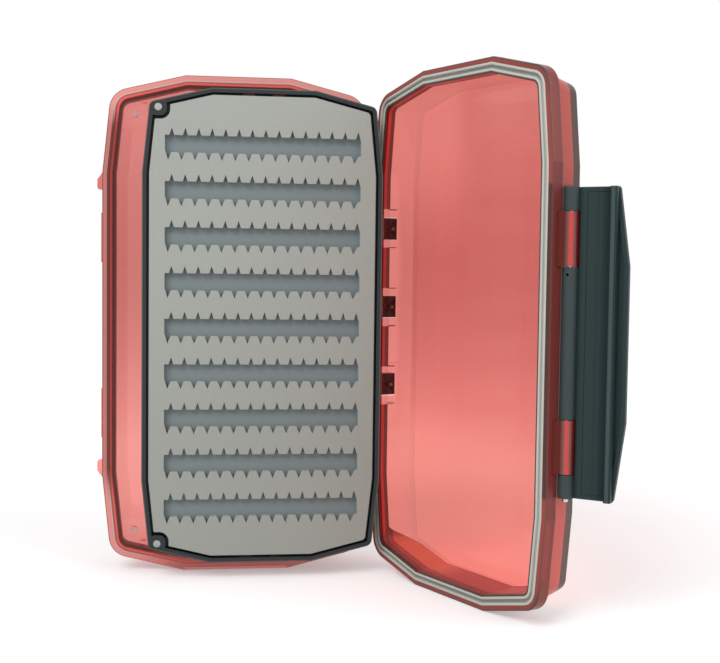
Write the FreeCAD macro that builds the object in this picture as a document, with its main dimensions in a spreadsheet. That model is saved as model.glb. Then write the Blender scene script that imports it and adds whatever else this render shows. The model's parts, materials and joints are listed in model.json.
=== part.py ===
import FreeCAD, Part
import math
import os
from types import SimpleNamespace

import Sketcher

# A waterproof fly box, shown standing on its short end and opened like a book.
# X runs across the box towards the hinge, Y from the opening into the base, and Z up along
# the box. The origin is the middle of the base flange's lower end face.

SIZES = {
    # outline of both halves: an oblong with sloped shoulders and slightly sloped cheeks
    "box_height": 206.0,
    "box_width": 111.0,
    "flat_half": 21.7,
    "cheek_half": 62.4,
    "shoulder_slope": 14.0,
    "cheek_slope": 5.9,
    "corner_radius": 9.0,
    # the two shells
    "flange_depth": 5.5,
    "lid_flange_depth": 5.2,
    "flange_overhang": 2.4,
    "flange_round": 0.7,
    "face_inset": 7.0,
    "lid_face_inset": 5.6,
    "face_round": 1.8,
    "base_depth": 27.0,
    "lid_depth": 19.2,
    "floor_wall": 2.0,
    "lid_floor_wall": 3.0,
    "base_lip": 5.5,
    "lid_lip": 6.0,
    "base_straight": 11.0,
    "lid_straight": 5.0,
    "base_floor_inset": 8.8,
    "lid_floor_inset": 6.9,
    "cavity_floor_round": 2.0,
    "base_rim_gap": 0.1,
    "lid_rim_gap": 0.5,
    # the lid's face is cut in long facets: how far each crease is from the hinge and how high
    "facet_start": 10.4,
    "facet_crease_1": 37.4,
    "facet_crease_2": 55.9,
    "facet_crease_3": 74.4,
    "facet_end": 101.4,
    "facet_rise": 0.9,
    "facet_middle_rise": 1.4,
    "facet_half": 88.0,
    "facet_level_half": 66.0,
    "facet_root": 0.5,
    # the seal between the rims
    "gasket_inset": 2.0,
    "gasket_width": 3.4,
    "gasket_seat": 2.0,
    "gasket_proud": 0.3,
    "gasket_groove": 1.6,
    "gasket_groove_depth": 1.3,
    "tongue_width": 0.9,
    "tongue_height": 0.9,
    # the hinge, three blocks on three short pins
    "hinge_out": 0.4,
    "hinge_pitch": 33.0,
    "hinge_rise": 8.4,
    "hinge_barrel": 1.95,
    "hinge_pin_radius": 0.8,
    "block_height": 9.0,
    "block_depth": 11.6,
    "block_seat": 1.75,
    "block_round": 0.6,
    "knuckle_height": 3.0,
    "knuckle_web": 3.4,
    "hinge_boss_side": 1.0,
    "hinge_boss_depth": 12.6,
    "rivet_radius": 0.8,
    "rivet_depth": 8.0,
    "rivet_bite": 2.6,
    "lid_open_angle": 115.9,
    # the latch and its pin
    "latch_out": 1.2,
    "latch_axis_depth": 8.5,
    "latch_half": 54.5,
    "latch_drop": 0.4,
    "latch_barrel": 2.75,
    "latch_pin_radius": 1.0,
    "latch_pin_end": 1.3,
    "latch_wall": 2.0,
    "latch_bead_width": 2.4,
    "latch_bead_hold": 1.0,
    "latch_bead_round": 0.6,
    "latch_tab": 3.8,
    "latch_tab_start": 0.2,
    "latch_tab_round": 0.9,
    "latch_tab_half": 27.0,
    "latch_tab_rim": 1.5,
    "latch_scoop": 0.9,
    "latch_panel_start": 5.5,
    "latch_panel_edge": 1.6,
    "latch_panel_sink": 0.3,
    "latch_end_segment": 8.3,
    "latch_mid_half": 26.6,
    "latch_open_angle": 117.5,
    "latch_peep_radius": 0.6,
    "latch_peep_edge": 2.6,
    # catches on the base flange that the latch closes over
    "catch_height": 20.4,
    "catch_out": 0.6,
    "guard_height": 6.8,
    "guard_out": 2.0,
    "guard_depth": 4.6,
    "guard_slope": 2.8,
    "guard_round": 0.8,
    # the swing leaf
    "leaf_side_gap": 1.6,
    "leaf_shift": 0.8,
    "leaf_sink": 0.45,
    "leaf_depth": 9.5,
    "leaf_ring": 1.8,
    "leaf_corner": 3.0,
    "leaf_web": 1.5,
    "window_width": 4.6,
    "window_spacing": 12.0,
    "window_height": 1.4,
    "leaf_boss": 6.8,
    "leaf_boss_round": 2.4,
    "magnet_radius": 1.45,
    "magnet_depth": 1.6,
    "magnet_side": 6.3,
    "magnet_end": 15.2,
    # foam sheets on the leaf
    "foam_gap": 1.0,
    "foam_sink": 0.2,
    "foam_corner": 2.0,
    "foam_backing": 0.8,
    "foam_relief": 1.3,
    "foam_relief_round": 3.8,
    "slot_rows": 9,
    "slot_pitch": 18.35,
    "slot_height": 6.8,
    "notch_count": 15,
    "notch_pitch": 5.35,
    "notch_mouth": 2.4,
    "notch_depth": 2.8,
    # the arms that carry the leaf
    "arm_length": 14.39,
    "arm_closed_angle": -12.0,
    "arm_swing": 88.0,
    "arm_half_width": 1.8,
    "arm_thick": 3.0,
    "arm_pin_radius": 0.9,
    "arm_pivot_inset": 5.2,
    "arm_pivot_depth": 12.5,
    "arm_end": 21.0,
    "ear_thick": 3.0,
    "lug_thick": 3.6,
    # posts for the base magnets
    "post_side": 9.5,
    "post_magnet_radius": 1.35,
    # clearances
    "running_fit": 0.05,
    "side_clearance": 0.3,
    "cut_overrun": 1.0,
}

doc = FreeCAD.newDocument("fly_box")
sheet = doc.addObject("Spreadsheet::Sheet", "sizes")
for row, (size_name, number) in enumerate(SIZES.items(), start=1):
    sheet.set(f"A{row}", size_name)
    sheet.set(f"B{row}", str(number))
    sheet.setAlias(f"B{row}", size_name)
doc.recompute()


class Size:
    """A measure worked out from the sheet: its expression, and its value as the sheet stands."""

    def __init__(self, text, value):
        self.text = text
        self.value = value

    def join(self, sign, other, first=False):
        other = as_size(other)
        left, right = (other, self) if first else (self, other)
        value = {
            "+": lambda: left.value + right.value,
            "-": lambda: left.value - right.value,
            "*": lambda: left.value * right.value,
            "/": lambda: left.value / right.value,
        }[sign]()
        return Size(f"({left.text} {sign} {right.text})", value)

    def __add__(self, other):
        return self.join("+", other)

    def __radd__(self, other):
        return self.join("+", other, first=True)

    def __sub__(self, other):
        return self.join("-", other)

    def __rsub__(self, other):
        return self.join("-", other, first=True)

    def __mul__(self, other):
        return self.join("*", other)

    def __rmul__(self, other):
        return self.join("*", other, first=True)

    def __truediv__(self, other):
        return self.join("/", other)

    def __neg__(self):
        return self.join("*", -1)


def as_size(value):
    if isinstance(value, Size):
        return value
    return Size(repr(value) if value >= 0 else f"({value!r})", float(value))


def sine(angle):
    return Size(f"sin({angle.text})", math.sin(math.radians(angle.value)))


def cosine(angle):
    return Size(f"cos({angle.text})", math.cos(math.radians(angle.value)))


def tangent(angle):
    return Size(f"tan({angle.text})", math.tan(math.radians(angle.value)))


d = SimpleNamespace(**{n: Size(f"sizes.{n}", float(sheet.get(n))) for n in SIZES})

half_width = d.box_width / 2
half_height = d.box_height / 2
mid_z = half_height
base_rim = -(d.flange_depth / 2)
hinge_x = half_width + d.hinge_out
hinge_y = base_rim - d.base_rim_gap
ZERO = as_size(0)


def bind(item, **sizes):
    """Tie properties of an object to the sheet."""
    for prop, size in sizes.items():
        item.setExpression(prop, as_size(size).text)
    return item


def place(item, x=ZERO, y=ZERO, z=ZERO):
    item.setExpression(".Placement.Base.x", as_size(x).text)
    item.setExpression(".Placement.Base.y", as_size(y).text)
    item.setExpression(".Placement.Base.z", as_size(z).text)
    return item


def box(name, x, y, z):
    """A block between the two ends given on each axis."""
    item = doc.addObject("Part::Box", name)
    bind(item, Length=x[1] - x[0], Width=y[1] - y[0], Height=z[1] - z[0])
    return place(item, x[0], y[0], z[0])


def rod(name, radius, x, y, z):
    """An upright rod between two heights."""
    item = doc.addObject("Part::Cylinder", name)
    bind(item, Radius=radius, Height=z[1] - z[0])
    return place(item, x, y, z[0])


def cross_rod(name, radius, along, x, y, z):
    """A rod lying along X or Y, between the two ends given on that axis."""
    item = doc.addObject("Part::Cylinder", name)
    span = x if along == "X" else y
    if along == "X":
        turn = FreeCAD.Rotation(FreeCAD.Vector(0, 1, 0), 90)
        start = (x[0], y, z)
    else:
        turn = FreeCAD.Rotation(FreeCAD.Vector(1, 0, 0), -90)
        start = (x, y[0], z)
    item.Placement = FreeCAD.Placement(FreeCAD.Vector(), turn)
    bind(item, Radius=radius, Height=span[1] - span[0])
    return place(item, *start)


def fuse(name, pieces):
    item = doc.addObject("Part::MultiFuse", name)
    item.Shapes = pieces
    item.Refine = True
    return item


def cut(name, whole, tools):
    item = doc.addObject("Part::Cut", name)
    item.Base = whole
    item.Tool = tools[0] if len(tools) == 1 else fuse(name + "_tools", tools)
    item.Refine = True
    return item


def common(name, one, other):
    item = doc.addObject("Part::Common", name)
    item.Base = one
    item.Tool = other
    return item


def new_body(name):
    return doc.addObject("PartDesign::Body", name)


def sketch_on(body, name, role, offset):
    """A sketch on one of the body's own origin planes, moved along the plane's normal."""
    plane = next(p for p in body.Origin.OriginFeatures if p.Role == role)
    sketch = body.newObject("Sketcher::SketchObject", name)
    sketch.AttachmentSupport = [(plane, "")]
    sketch.MapMode = "FlatFace"
    sketch.setExpression(".AttachmentOffset.Base.z", as_size(offset).text)
    return sketch


def draw_loop(sketch, corners):
    """
    Draws a closed loop, anticlockwise. A corner is (across, up), or (across, up, radius) where
    an arc of that radius leaves it for the next corner. Each is held at its two coordinates.
    """
    first = sketch.GeometryCount
    spots = [FreeCAD.Vector(c[0].value, c[1].value, 0) for c in corners]
    shapes = []
    for i, corner in enumerate(corners):
        start, end = spots[i], spots[(i + 1) % len(spots)]
        if len(corner) == 2:
            shapes.append(Part.LineSegment(start, end))
            continue
        radius = corner[2].value
        chord = end - start
        inward = FreeCAD.Vector(-chord.y, chord.x, 0).normalize()
        rise = math.sqrt(radius ** 2 - (chord.Length / 2) ** 2)
        centre = (start + end) / 2 + inward * rise
        angles = [math.atan2(p.y - centre.y, p.x - centre.x) for p in (start, end)]
        ring = Part.Circle(centre, FreeCAD.Vector(0, 0, 1), radius)
        shapes.append(Part.ArcOfCircle(ring, angles[0], angles[1]))
    sketch.addGeometry(shapes, False)
    rules = []
    texts = []
    for i, corner in enumerate(corners):
        here = first + i
        after = first + (i + 1) % len(corners)
        rules.append(Sketcher.Constraint("Coincident", here, 2, after, 1))
        texts.append(None)
        rules.append(Sketcher.Constraint("DistanceX", -1, 1, here, 1, corner[0].value))
        texts.append(corner[0].text)
        rules.append(Sketcher.Constraint("DistanceY", -1, 1, here, 1, corner[1].value))
        texts.append(corner[1].text)
        if len(corner) == 3:
            rules.append(Sketcher.Constraint("Radius", here, corner[2].value))
            texts.append(corner[2].text)
    start_at = sketch.ConstraintCount
    sketch.addConstraint(rules)
    for i, text in enumerate(texts):
        if text:
            sketch.setExpression(f"Constraints[{start_at + i}]", text)


def outline(inset, radius, centre_x=ZERO):
    """The box's outline drawn in by a distance, with rounded shoulders of the given radius."""
    wide = half_width - inset
    tall = half_height - inset
    flat = d.flat_half - inset * tangent(d.shoulder_slope / 2)
    cheek = d.cheek_half - inset * tangent(d.cheek_slope / 2)
    slope = tangent(d.shoulder_slope)
    lean = tangent(d.cheek_slope)
    tip_x = (wide - (tall + flat * slope - cheek) * lean) / (1 - slope * lean)
    tip_z = tall - (tip_x - flat) * slope
    reach = radius * tangent((90 - d.shoulder_slope - d.cheek_slope) / 2)
    on_shoulder = (tip_x - reach * cosine(d.shoulder_slope), tip_z + reach * sine(d.shoulder_slope))
    on_cheek = (tip_x + reach * sine(d.cheek_slope), tip_z - reach * cosine(d.cheek_slope))
    quarter = [(wide, cheek), (*on_cheek, radius), on_shoulder, (flat, tall)]
    back = [(flat, tall), (*on_shoulder, radius), on_cheek, (wide, cheek)]
    loop = []
    for side, rise, corners in ((1, 1, quarter), (-1, 1, back), (-1, -1, quarter), (1, -1, back)):
        for corner in corners:
            spot = (centre_x + side * corner[0], mid_z + rise * corner[1])
            loop.append(spot + corner[2:])
    return loop


def flat_sketch(body, name, depth, *loops):
    """Loops in a plane square to Y, at the given Y."""
    sketch = sketch_on(body, name, "XZ_Plane", -depth)
    for loop in loops:
        draw_loop(sketch, loop)
    return sketch


def feature(body, kind, name, profile, **settings):
    item = body.newObject(f"PartDesign::{kind}", name)
    item.Profile = profile
    for prop, value in settings.items():
        if isinstance(value, Size):
            bind(item, **{prop: value})
        else:
            setattr(item, prop, value)
    return item


SAME = 1e-4  # two measures of a shape no further apart than this are the same, in millimetres


def edges_at(shape, test):
    return [f"Edge{i}" for i, edge in enumerate(shape.Edges, start=1) if test(edge)]


def round_edges(body, name, radius, test):
    """Rounds the edges of the body's last feature that pass the test."""
    doc.recompute()
    last = body.Tip
    item = body.newObject("PartDesign::Fillet", name)
    item.Base = (last, edges_at(last.Shape, test))
    bind(item, Radius=radius)
    return item


def flat_at(depth):
    """A test for edges that lie in the plane square to Y at the given Y."""
    def test(edge):
        low, high = edge.BoundBox.YMin, edge.BoundBox.YMax
        return abs(low - depth.value) < SAME and abs(high - depth.value) < SAME
    return test


# where things sit along the hinge and the latch

hinge_centres = [mid_z + d.hinge_rise + k * d.hinge_pitch for k in (1, 0, -1)]
block_half = d.block_height / 2
knuckle_from = block_half + d.side_clearance
knuckle_to = knuckle_from + d.knuckle_height
hinge_half = knuckle_to + d.side_clearance
pin_hole = d.hinge_pin_radius + d.running_fit

latch_mid = mid_z - d.latch_drop
latch_x = -(d.hinge_out + d.box_width + d.latch_out)
latch_y = -d.latch_axis_depth
latch_knuckle = (d.latch_mid_half + d.side_clearance,
                 d.latch_half - d.latch_end_segment - d.side_clearance)
latch_hole = d.latch_pin_radius + d.running_fit

# where the leaf and its arms sit

leaf_front = base_rim + d.leaf_sink
leaf_back = leaf_front + d.leaf_depth
leaf_inset = d.base_lip + d.leaf_side_gap
web_front = leaf_front + d.leaf_depth / 2 - d.leaf_web / 2
web_back = web_front + d.leaf_web
leaf_x = -d.leaf_shift
magnet_x = leaf_x - (half_width - leaf_inset - d.magnet_side)
arm_pivot = (half_width - d.base_lip - d.arm_pivot_inset, base_rim + d.arm_pivot_depth)
leaf_pivot = (arm_pivot[0] - d.arm_length * cosine(d.arm_closed_angle),
              arm_pivot[1] - d.arm_length * sine(d.arm_closed_angle))
arm_hole = d.arm_pin_radius + d.running_fit
arm_turned = d.arm_closed_angle + d.arm_swing


def both_ends(from_end, thick):
    """Heights of a plate that starts at a distance from each end of the box, top then bottom."""
    high = (d.box_height - from_end, d.box_height - from_end + thick)
    low = (from_end - thick, as_size(from_end))
    return {"top": high, "bottom": low}


arm_levels = both_ends(d.arm_end + d.arm_thick, d.arm_thick)
ear_start = d.arm_end - d.side_clearance
ear_levels = both_ends(ear_start, d.ear_thick)
lug_levels = both_ends(ear_start, d.lug_thick)
magnet_heights = {"top": d.box_height - d.magnet_end, "bottom": as_size(d.magnet_end)}

# how the lid, the latch and the leaf stand open

Z_AXIS = FreeCAD.Vector(0, 0, 1)


def turned(x, y, angle):
    return FreeCAD.Placement(
        FreeCAD.Vector(x.value, y.value, 0), FreeCAD.Rotation(Z_AXIS, angle.value)
    )


lid_frame = turned(hinge_x, hinge_y, d.lid_open_angle)
latch_frame = lid_frame * turned(latch_x, latch_y, d.latch_open_angle)
leaf_step = (
    d.arm_length * (cosine(d.arm_closed_angle) - cosine(arm_turned)),
    d.arm_length * (sine(d.arm_closed_angle) - sine(arm_turned)),
)
leaf_frame_place = turned(leaf_step[0], leaf_step[1], ZERO)
arm_frame = turned(arm_pivot[0], arm_pivot[1], arm_turned)

parts = {}


def finish(item, label, frame=None):
    """Names a finished sub-part and stands it where it belongs."""
    if frame is not None and item.ExpressionEngine and item.isDerivedFrom("Part::Primitive"):
        holder = doc.addObject("Part::Compound", label + "_set")
        holder.Links = [item]
        item = holder
    item.Label = label
    if frame is not None:
        item.Placement = frame * item.Placement
    parts[label] = item
    return item


def shell_form(name, rim, sign, centre_x, flange_depth, depth, wall, face_inset, lip, straight,
               floor_inset):
    """
    A moulded half: a flange, a drafted tray behind it and the hollow inside.
    The tray goes from the rim towards +Y where sign is 1, and towards -Y where it is -1.
    """
    body = new_body(name)
    deeper = sign > 0
    flange = flat_sketch(body, name + "_flange", rim, outline(ZERO, d.corner_radius, centre_x))
    feature(body, "Pad", name + "_flange_pad", flange, Length=flange_depth, Reversed=deeper)
    neck = rim + sign * flange_depth
    round_edges(body, name + "_flange_edges", d.flange_round,
                lambda e: flat_at(rim)(e) or flat_at(neck)(e))
    face = rim + sign * depth
    neck_loop = outline(d.flange_overhang, d.corner_radius - d.flange_overhang, centre_x)
    face_loop = outline(face_inset, d.corner_radius - face_inset + d.face_round, centre_x)
    start = flat_sketch(body, name + "_neck", neck, neck_loop)
    end = flat_sketch(body, name + "_face", face, face_loop)
    feature(body, "AdditiveLoft", name + "_tray", start, Sections=[end], Ruled=True)
    round_edges(body, name + "_face_edges", d.face_round, flat_at(face))
    mouth_loop = outline(lip, d.corner_radius - lip, centre_x)
    mouth = flat_sketch(body, name + "_mouth", rim, mouth_loop)
    feature(body, "Pocket", name + "_well", mouth, Length=as_size(straight), Reversed=not deeper)
    bend = flat_sketch(body, name + "_bend", rim + sign * straight, mouth_loop)
    floor_loop = outline(floor_inset, d.cavity_floor_round, centre_x)
    floor = flat_sketch(body, name + "_floor", rim + sign * (depth - wall), floor_loop)
    feature(body, "SubtractiveLoft", name + "_hollow", bend, Sections=[floor], Ruled=True)
    return body


def ring_loops(inset, width, centre_x=ZERO):
    outer = outline(inset, d.corner_radius - inset, centre_x)
    inner = outline(inset + width, d.corner_radius - inset - width, centre_x)
    return outer, inner


# The base: the deep half, with hinge knuckles, latch catches, magnet posts and arm ears.

base = shell_form("base_form", base_rim, 1, ZERO, d.flange_depth, d.base_depth, d.floor_wall,
                  d.face_inset, d.base_lip, d.base_straight, d.base_floor_inset)
tongue_inset = d.gasket_inset + (d.gasket_width - d.tongue_width) / 2
tongue = flat_sketch(base, "tongue_ring", base_rim, *ring_loops(tongue_inset, d.tongue_width))
feature(base, "Pad", "tongue", tongue, Length=d.tongue_height)

base_added = [base]
base_removed = []
for number, centre in enumerate(hinge_centres, start=1):
    for side in (1, -1):
        ends = sorted((centre + side * knuckle_from, centre + side * knuckle_to),
                      key=lambda s: s.value)
        tag = f"{number}_{'upper' if side > 0 else 'lower'}"
        base_added.append(rod(f"knuckle_{tag}", d.hinge_barrel, hinge_x, hinge_y, ends))
        base_added.append(box(f"knuckle_web_{tag}",
                              (hinge_x - d.hinge_barrel, hinge_x + d.hinge_barrel),
                              (hinge_y, hinge_y + d.knuckle_web), ends))
    base_removed.append(box(f"block_notch_{number}",
                            (hinge_x - d.hinge_barrel - d.side_clearance,
                             hinge_x + d.hinge_barrel + d.cut_overrun),
                            (hinge_y - d.hinge_barrel,
                             base_rim + d.flange_depth + d.cut_overrun),
                            (centre - knuckle_from, centre + knuckle_from)))
    base_removed.append(rod(f"base_pin_hole_{number}", pin_hole, hinge_x, hinge_y,
                            (centre - hinge_half, centre + hinge_half)))

for side, end_name in ((1, "upper"), (-1, "lower")):
    catch_mid = latch_mid + side * (latch_knuckle[0] + latch_knuckle[1]) / 2
    base_added.append(box(f"catch_{end_name}",
                          (-half_width - d.catch_out, -half_width + d.flange_overhang),
                          (base_rim + d.flange_depth / 2, base_rim + d.flange_depth),
                          (catch_mid - d.catch_height / 2, catch_mid + d.catch_height / 2)))
    guard_near = d.latch_half + d.latch_pin_end + d.side_clearance
    near = latch_mid + side * guard_near
    far = near + side * d.guard_height
    outer = -half_width - d.guard_out
    inner = -half_width + d.flange_overhang
    rounded = outer + d.guard_round
    if side > 0:
        corners = [(inner, near), (inner, far), (-half_width, far), (outer, far - d.guard_slope),
                   (outer, near + d.guard_round, d.guard_round), (rounded, near)]
    else:
        corners = [(inner, far), (inner, near), (rounded, near, d.guard_round),
                   (outer, near - d.guard_round), (outer, far + d.guard_slope), (-half_width, far)]
    guard = new_body(f"guard_{end_name}")
    guard_back = base_rim + d.flange_depth
    guard_sketch = flat_sketch(guard, f"guard_outline_{end_name}", guard_back, corners)
    feature(guard, "Pad", f"guard_pad_{end_name}", guard_sketch, Length=d.guard_depth)
    base_added.append(guard)

post_top = leaf_back + d.side_clearance
post_floor = base_rim + d.base_depth - d.floor_wall / 2
base_block = new_body("post_limit")
limit_start = flat_sketch(base_block, "post_limit_neck", base_rim + d.flange_depth,
                          outline(d.flange_overhang, d.corner_radius - d.flange_overhang))
limit_end = flat_sketch(base_block, "post_limit_face", base_rim + d.base_depth,
                        outline(d.face_inset, d.corner_radius - d.face_inset + d.face_round))
feature(base_block, "AdditiveLoft", "post_limit_form", limit_start, Sections=[limit_end],
        Ruled=True)
for end_name, level in magnet_heights.items():
    half = d.post_side / 2
    post = box(f"post_box_{end_name}", (magnet_x - half, magnet_x + half),
               (post_top, post_floor), (level - half, level + half))
    base_added.append(common(f"post_{end_name}", post, base_block))
    base_removed.append(cross_rod(f"post_socket_{end_name}", d.post_magnet_radius, "Y", magnet_x,
                                  (post_top - d.cut_overrun, post_top + d.magnet_depth), level))
for end_name, ends in ear_levels.items():
    base_added.append(box(f"ear_{end_name}",
                          (arm_pivot[0] - d.arm_half_width,
                           half_width - d.base_lip + d.floor_wall / 2),
                          (arm_pivot[1] - d.arm_half_width, arm_pivot[1] + d.arm_half_width),
                          ends))
    base_removed.append(rod(f"ear_hole_{end_name}", arm_hole, *arm_pivot,
                            (ends[0] - d.cut_overrun, ends[1] + d.cut_overrun)))
finish(cut("base_shell", fuse("base_solid", base_added), base_removed), "base_shell")

for end_name, level in magnet_heights.items():
    finish(cross_rod(f"base_magnet_{end_name}", d.post_magnet_radius, "Y", magnet_x,
                     (post_top, post_top + d.magnet_depth), level), f"base_magnet_{end_name}")

# The lid: the shallow half, modelled shut with its hinge axis at the frame's origin.

lid_centre = -hinge_x
lid_rim = -d.lid_rim_gap
lid = shell_form("lid_form", lid_rim, -1, lid_centre, d.lid_flange_depth,
                 d.lid_depth - d.lid_rim_gap, d.lid_floor_wall, d.lid_face_inset, d.lid_lip,
                 d.lid_straight, d.lid_floor_inset)
seat = flat_sketch(lid, "seal_seat_ring", lid_rim,
                   *ring_loops(d.gasket_inset, d.gasket_width, lid_centre))
feature(lid, "Pocket", "seal_seat", seat, Length=d.gasket_seat, Reversed=True)


def facet_form(name, level, root):
    """A low vault with long facets and sloped ends, on a plane square to Y, rooted behind it."""
    long_form = new_body(name + "_long_form")
    across = sketch_on(long_form, name + "_across", "XY_Plane", mid_z - d.facet_half)
    draw_loop(across, [
        (-d.facet_end, level), (-d.facet_crease_3, level - d.facet_rise),
        (-d.facet_crease_2, level - d.facet_middle_rise),
        (-d.facet_crease_1, level - d.facet_rise), (-d.facet_start, level),
        (-d.facet_start, level + root), (-d.facet_end, level + root)])
    feature(long_form, "Pad", name + "_long_pad", across, Length=2 * d.facet_half)
    cross_form = new_body(name + "_cross_form")
    lengthwise = sketch_on(cross_form, name + "_lengthwise", "YZ_Plane", -d.facet_end)
    draw_loop(lengthwise, [
        (level - d.facet_middle_rise, mid_z - d.facet_level_half), (level, mid_z - d.facet_half),
        (level + root, mid_z - d.facet_half), (level + root, mid_z + d.facet_half),
        (level, mid_z + d.facet_half), (level - d.facet_middle_rise, mid_z + d.facet_level_half)])
    feature(cross_form, "Pad", name + "_cross_pad", lengthwise, Length=d.facet_end - d.facet_start)
    return common(name, long_form, cross_form)


lid_floor = -(d.lid_depth - d.lid_floor_wall)
lid_added = [lid, facet_form("face_facets", -d.lid_depth, d.facet_root)]
lid_removed = [facet_form("floor_facets", lid_floor, d.cut_overrun)]
block_face = -(d.hinge_out + d.block_seat)
boss_inner = -(d.hinge_out + d.lid_lip)
boss_outer_depth = -d.hinge_boss_depth
for number, centre in enumerate(hinge_centres, start=1):
    reach = hinge_half + d.hinge_boss_side
    lid_added.append(box(f"hinge_boss_{number}", (boss_inner, block_face),
                         (boss_outer_depth, lid_rim - d.gasket_seat - d.floor_wall),
                         (centre - reach, centre + reach)))
    lid_removed.append(box(f"hinge_pocket_{number}", (block_face, d.hinge_barrel + d.cut_overrun),
                           (boss_outer_depth - d.cut_overrun, d.hinge_barrel),
                           (centre - hinge_half, centre + hinge_half)))
    lid_removed.append(cross_rod(f"lid_rivet_hole_{number}", d.rivet_radius, "X",
                                 (block_face - d.rivet_bite, block_face + d.cut_overrun),
                                 -d.rivet_depth, centre))
wall_bite = -(d.hinge_out + d.box_width - d.lid_lip + d.floor_wall / 2)
for side, end_name in ((1, "upper"), (-1, "lower")):
    ends = sorted((latch_mid + side * latch_knuckle[0], latch_mid + side * latch_knuckle[1]),
                  key=lambda s: s.value)
    lid_added.append(rod(f"latch_knuckle_{end_name}", d.latch_barrel, latch_x, latch_y, ends))
    lid_added.append(box(f"latch_knuckle_web_{end_name}", (latch_x, wall_bite),
                         (latch_y - d.latch_barrel / 2, lid_rim - d.lid_flange_depth / 2), ends))
    lid_removed.append(rod(f"latch_knuckle_hole_{end_name}", latch_hole, latch_x, latch_y,
                           (ends[0] - d.cut_overrun, ends[1] + d.cut_overrun)))
finish(cut("lid_shell", fuse("lid_solid", lid_added), lid_removed), "lid_shell", lid_frame)

# The seal: a ring with two ridges that the base's tongue closes into.

gasket = new_body("gasket")
gasket_top = lid_rim + d.gasket_proud
ring = flat_sketch(gasket, "gasket_ring", gasket_top,
                   *ring_loops(d.gasket_inset, d.gasket_width, lid_centre))
feature(gasket, "Pad", "gasket_pad", ring, Length=d.gasket_proud + d.gasket_seat)
groove_inset = d.gasket_inset + (d.gasket_width - d.gasket_groove) / 2
groove = flat_sketch(gasket, "gasket_groove_ring", gasket_top,
                     *ring_loops(groove_inset, d.gasket_groove, lid_centre))
feature(gasket, "Pocket", "gasket_groove_cut", groove, Length=d.gasket_groove_depth, Reversed=True)
finish(gasket, "lid_gasket", lid_frame)

# Hinge blocks riveted to the lid, and the short pins that join them to the base knuckles.

for number, centre in enumerate(hinge_centres, start=1):
    ends = (centre - block_half, centre + block_half)
    barrel = rod(f"block_barrel_{number}", d.hinge_barrel, ZERO, ZERO, ends)
    slab = box(f"block_slab_{number}", (block_face, d.hinge_barrel), (-d.block_depth, ZERO), ends)
    solid = fuse(f"block_solid_{number}", [barrel, slab])
    bore = rod(f"block_bore_{number}", pin_hole, ZERO, ZERO,
               (ends[0] - d.cut_overrun, ends[1] + d.cut_overrun))
    rivet_hole = cross_rod(f"block_rivet_hole_{number}", d.rivet_radius, "X",
                           (block_face - d.cut_overrun, d.hinge_barrel + d.cut_overrun),
                           -d.rivet_depth, centre)
    block = cut(f"block_cut_{number}", solid, [bore, rivet_hole])
    doc.recompute()
    outer_ends = edges_at(block.Shape, lambda e: (
        e.BoundBox.YMax < -d.block_depth.value + SAME and e.BoundBox.XLength < SAME
        and e.BoundBox.XMin > 0))
    rounded = doc.addObject("Part::Fillet", f"hinge_block_{number}")
    rounded.Base = block
    rounded.Edges = [(int(name[4:]), d.block_round.value, d.block_round.value)
                     for name in outer_ends]
    finish(rounded, f"hinge_block_{number}", lid_frame)
    finish(cross_rod(f"hinge_rivet_{number}", d.rivet_radius, "X",
                     (block_face - d.rivet_bite, d.hinge_barrel), -d.rivet_depth, centre),
           f"hinge_rivet_{number}", lid_frame)
    finish(rod(f"hinge_pin_{number}", d.hinge_pin_radius, hinge_x, hinge_y,
               (centre - knuckle_to, centre + knuckle_to)), f"hinge_pin_{number}")

# The latch: a long plate with a hook bead and a finger tab, modelled shut about its own pin.
# Its X points into the box and its Y from the lid towards the base.

hook_y = d.latch_axis_depth + d.base_rim_gap + d.flange_depth + d.side_clearance
bead_end = hook_y + d.latch_bead_width
bead_tip = d.latch_out + d.latch_bead_hold
plate_inner = -d.latch_barrel + d.latch_wall
tab_end = bead_end + d.latch_tab
latch_low = latch_mid - d.latch_half
latch_high = latch_mid + d.latch_half

latch = new_body("latch_form")
plate_sketch = sketch_on(latch, "latch_plate_outline", "YZ_Plane", -d.latch_barrel)
tab_start = bead_end + d.latch_tab_start
tab_round_start = tab_start - d.latch_tab_round
draw_loop(plate_sketch, [
    (ZERO, latch_low), (tab_round_start, latch_low, d.latch_tab_round),
    (tab_start, latch_low + d.latch_tab_round), (tab_end, latch_mid - d.latch_tab_half),
    (tab_end, latch_mid + d.latch_tab_half),
    (tab_start, latch_high - d.latch_tab_round, d.latch_tab_round),
    (tab_round_start, latch_high), (ZERO, latch_high)])
feature(latch, "Pad", "latch_plate", plate_sketch, Length=d.latch_wall)
scoop_sketch = sketch_on(latch, "latch_scoop_outline", "YZ_Plane", plate_inner)
straight_half = d.latch_half - d.latch_tab_round
tab_lean = (straight_half - d.latch_tab_half) / (d.latch_tab - d.latch_tab_start)
scoop_half = straight_half - (d.latch_tab_rim - d.latch_tab_start) * tab_lean
scoop_outer = tab_end - d.latch_tab_rim
draw_loop(scoop_sketch, [
    (bead_end, latch_mid - scoop_half), (scoop_outer, latch_mid - d.latch_tab_half),
    (scoop_outer, latch_mid + d.latch_tab_half), (bead_end, latch_mid + scoop_half)])
feature(latch, "Pocket", "latch_scoop_cut", scoop_sketch, Length=d.latch_scoop)
panel_sketch = sketch_on(latch, "latch_panel_outline", "YZ_Plane", plate_inner)
draw_loop(panel_sketch, [
    (d.latch_panel_start, latch_low + d.latch_panel_edge),
    (hook_y, latch_low + d.latch_panel_edge),
    (hook_y, latch_high - d.latch_panel_edge),
    (d.latch_panel_start, latch_high - d.latch_panel_edge)])
feature(latch, "Pocket", "latch_panel_cut", panel_sketch, Length=d.latch_panel_sink)
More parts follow.
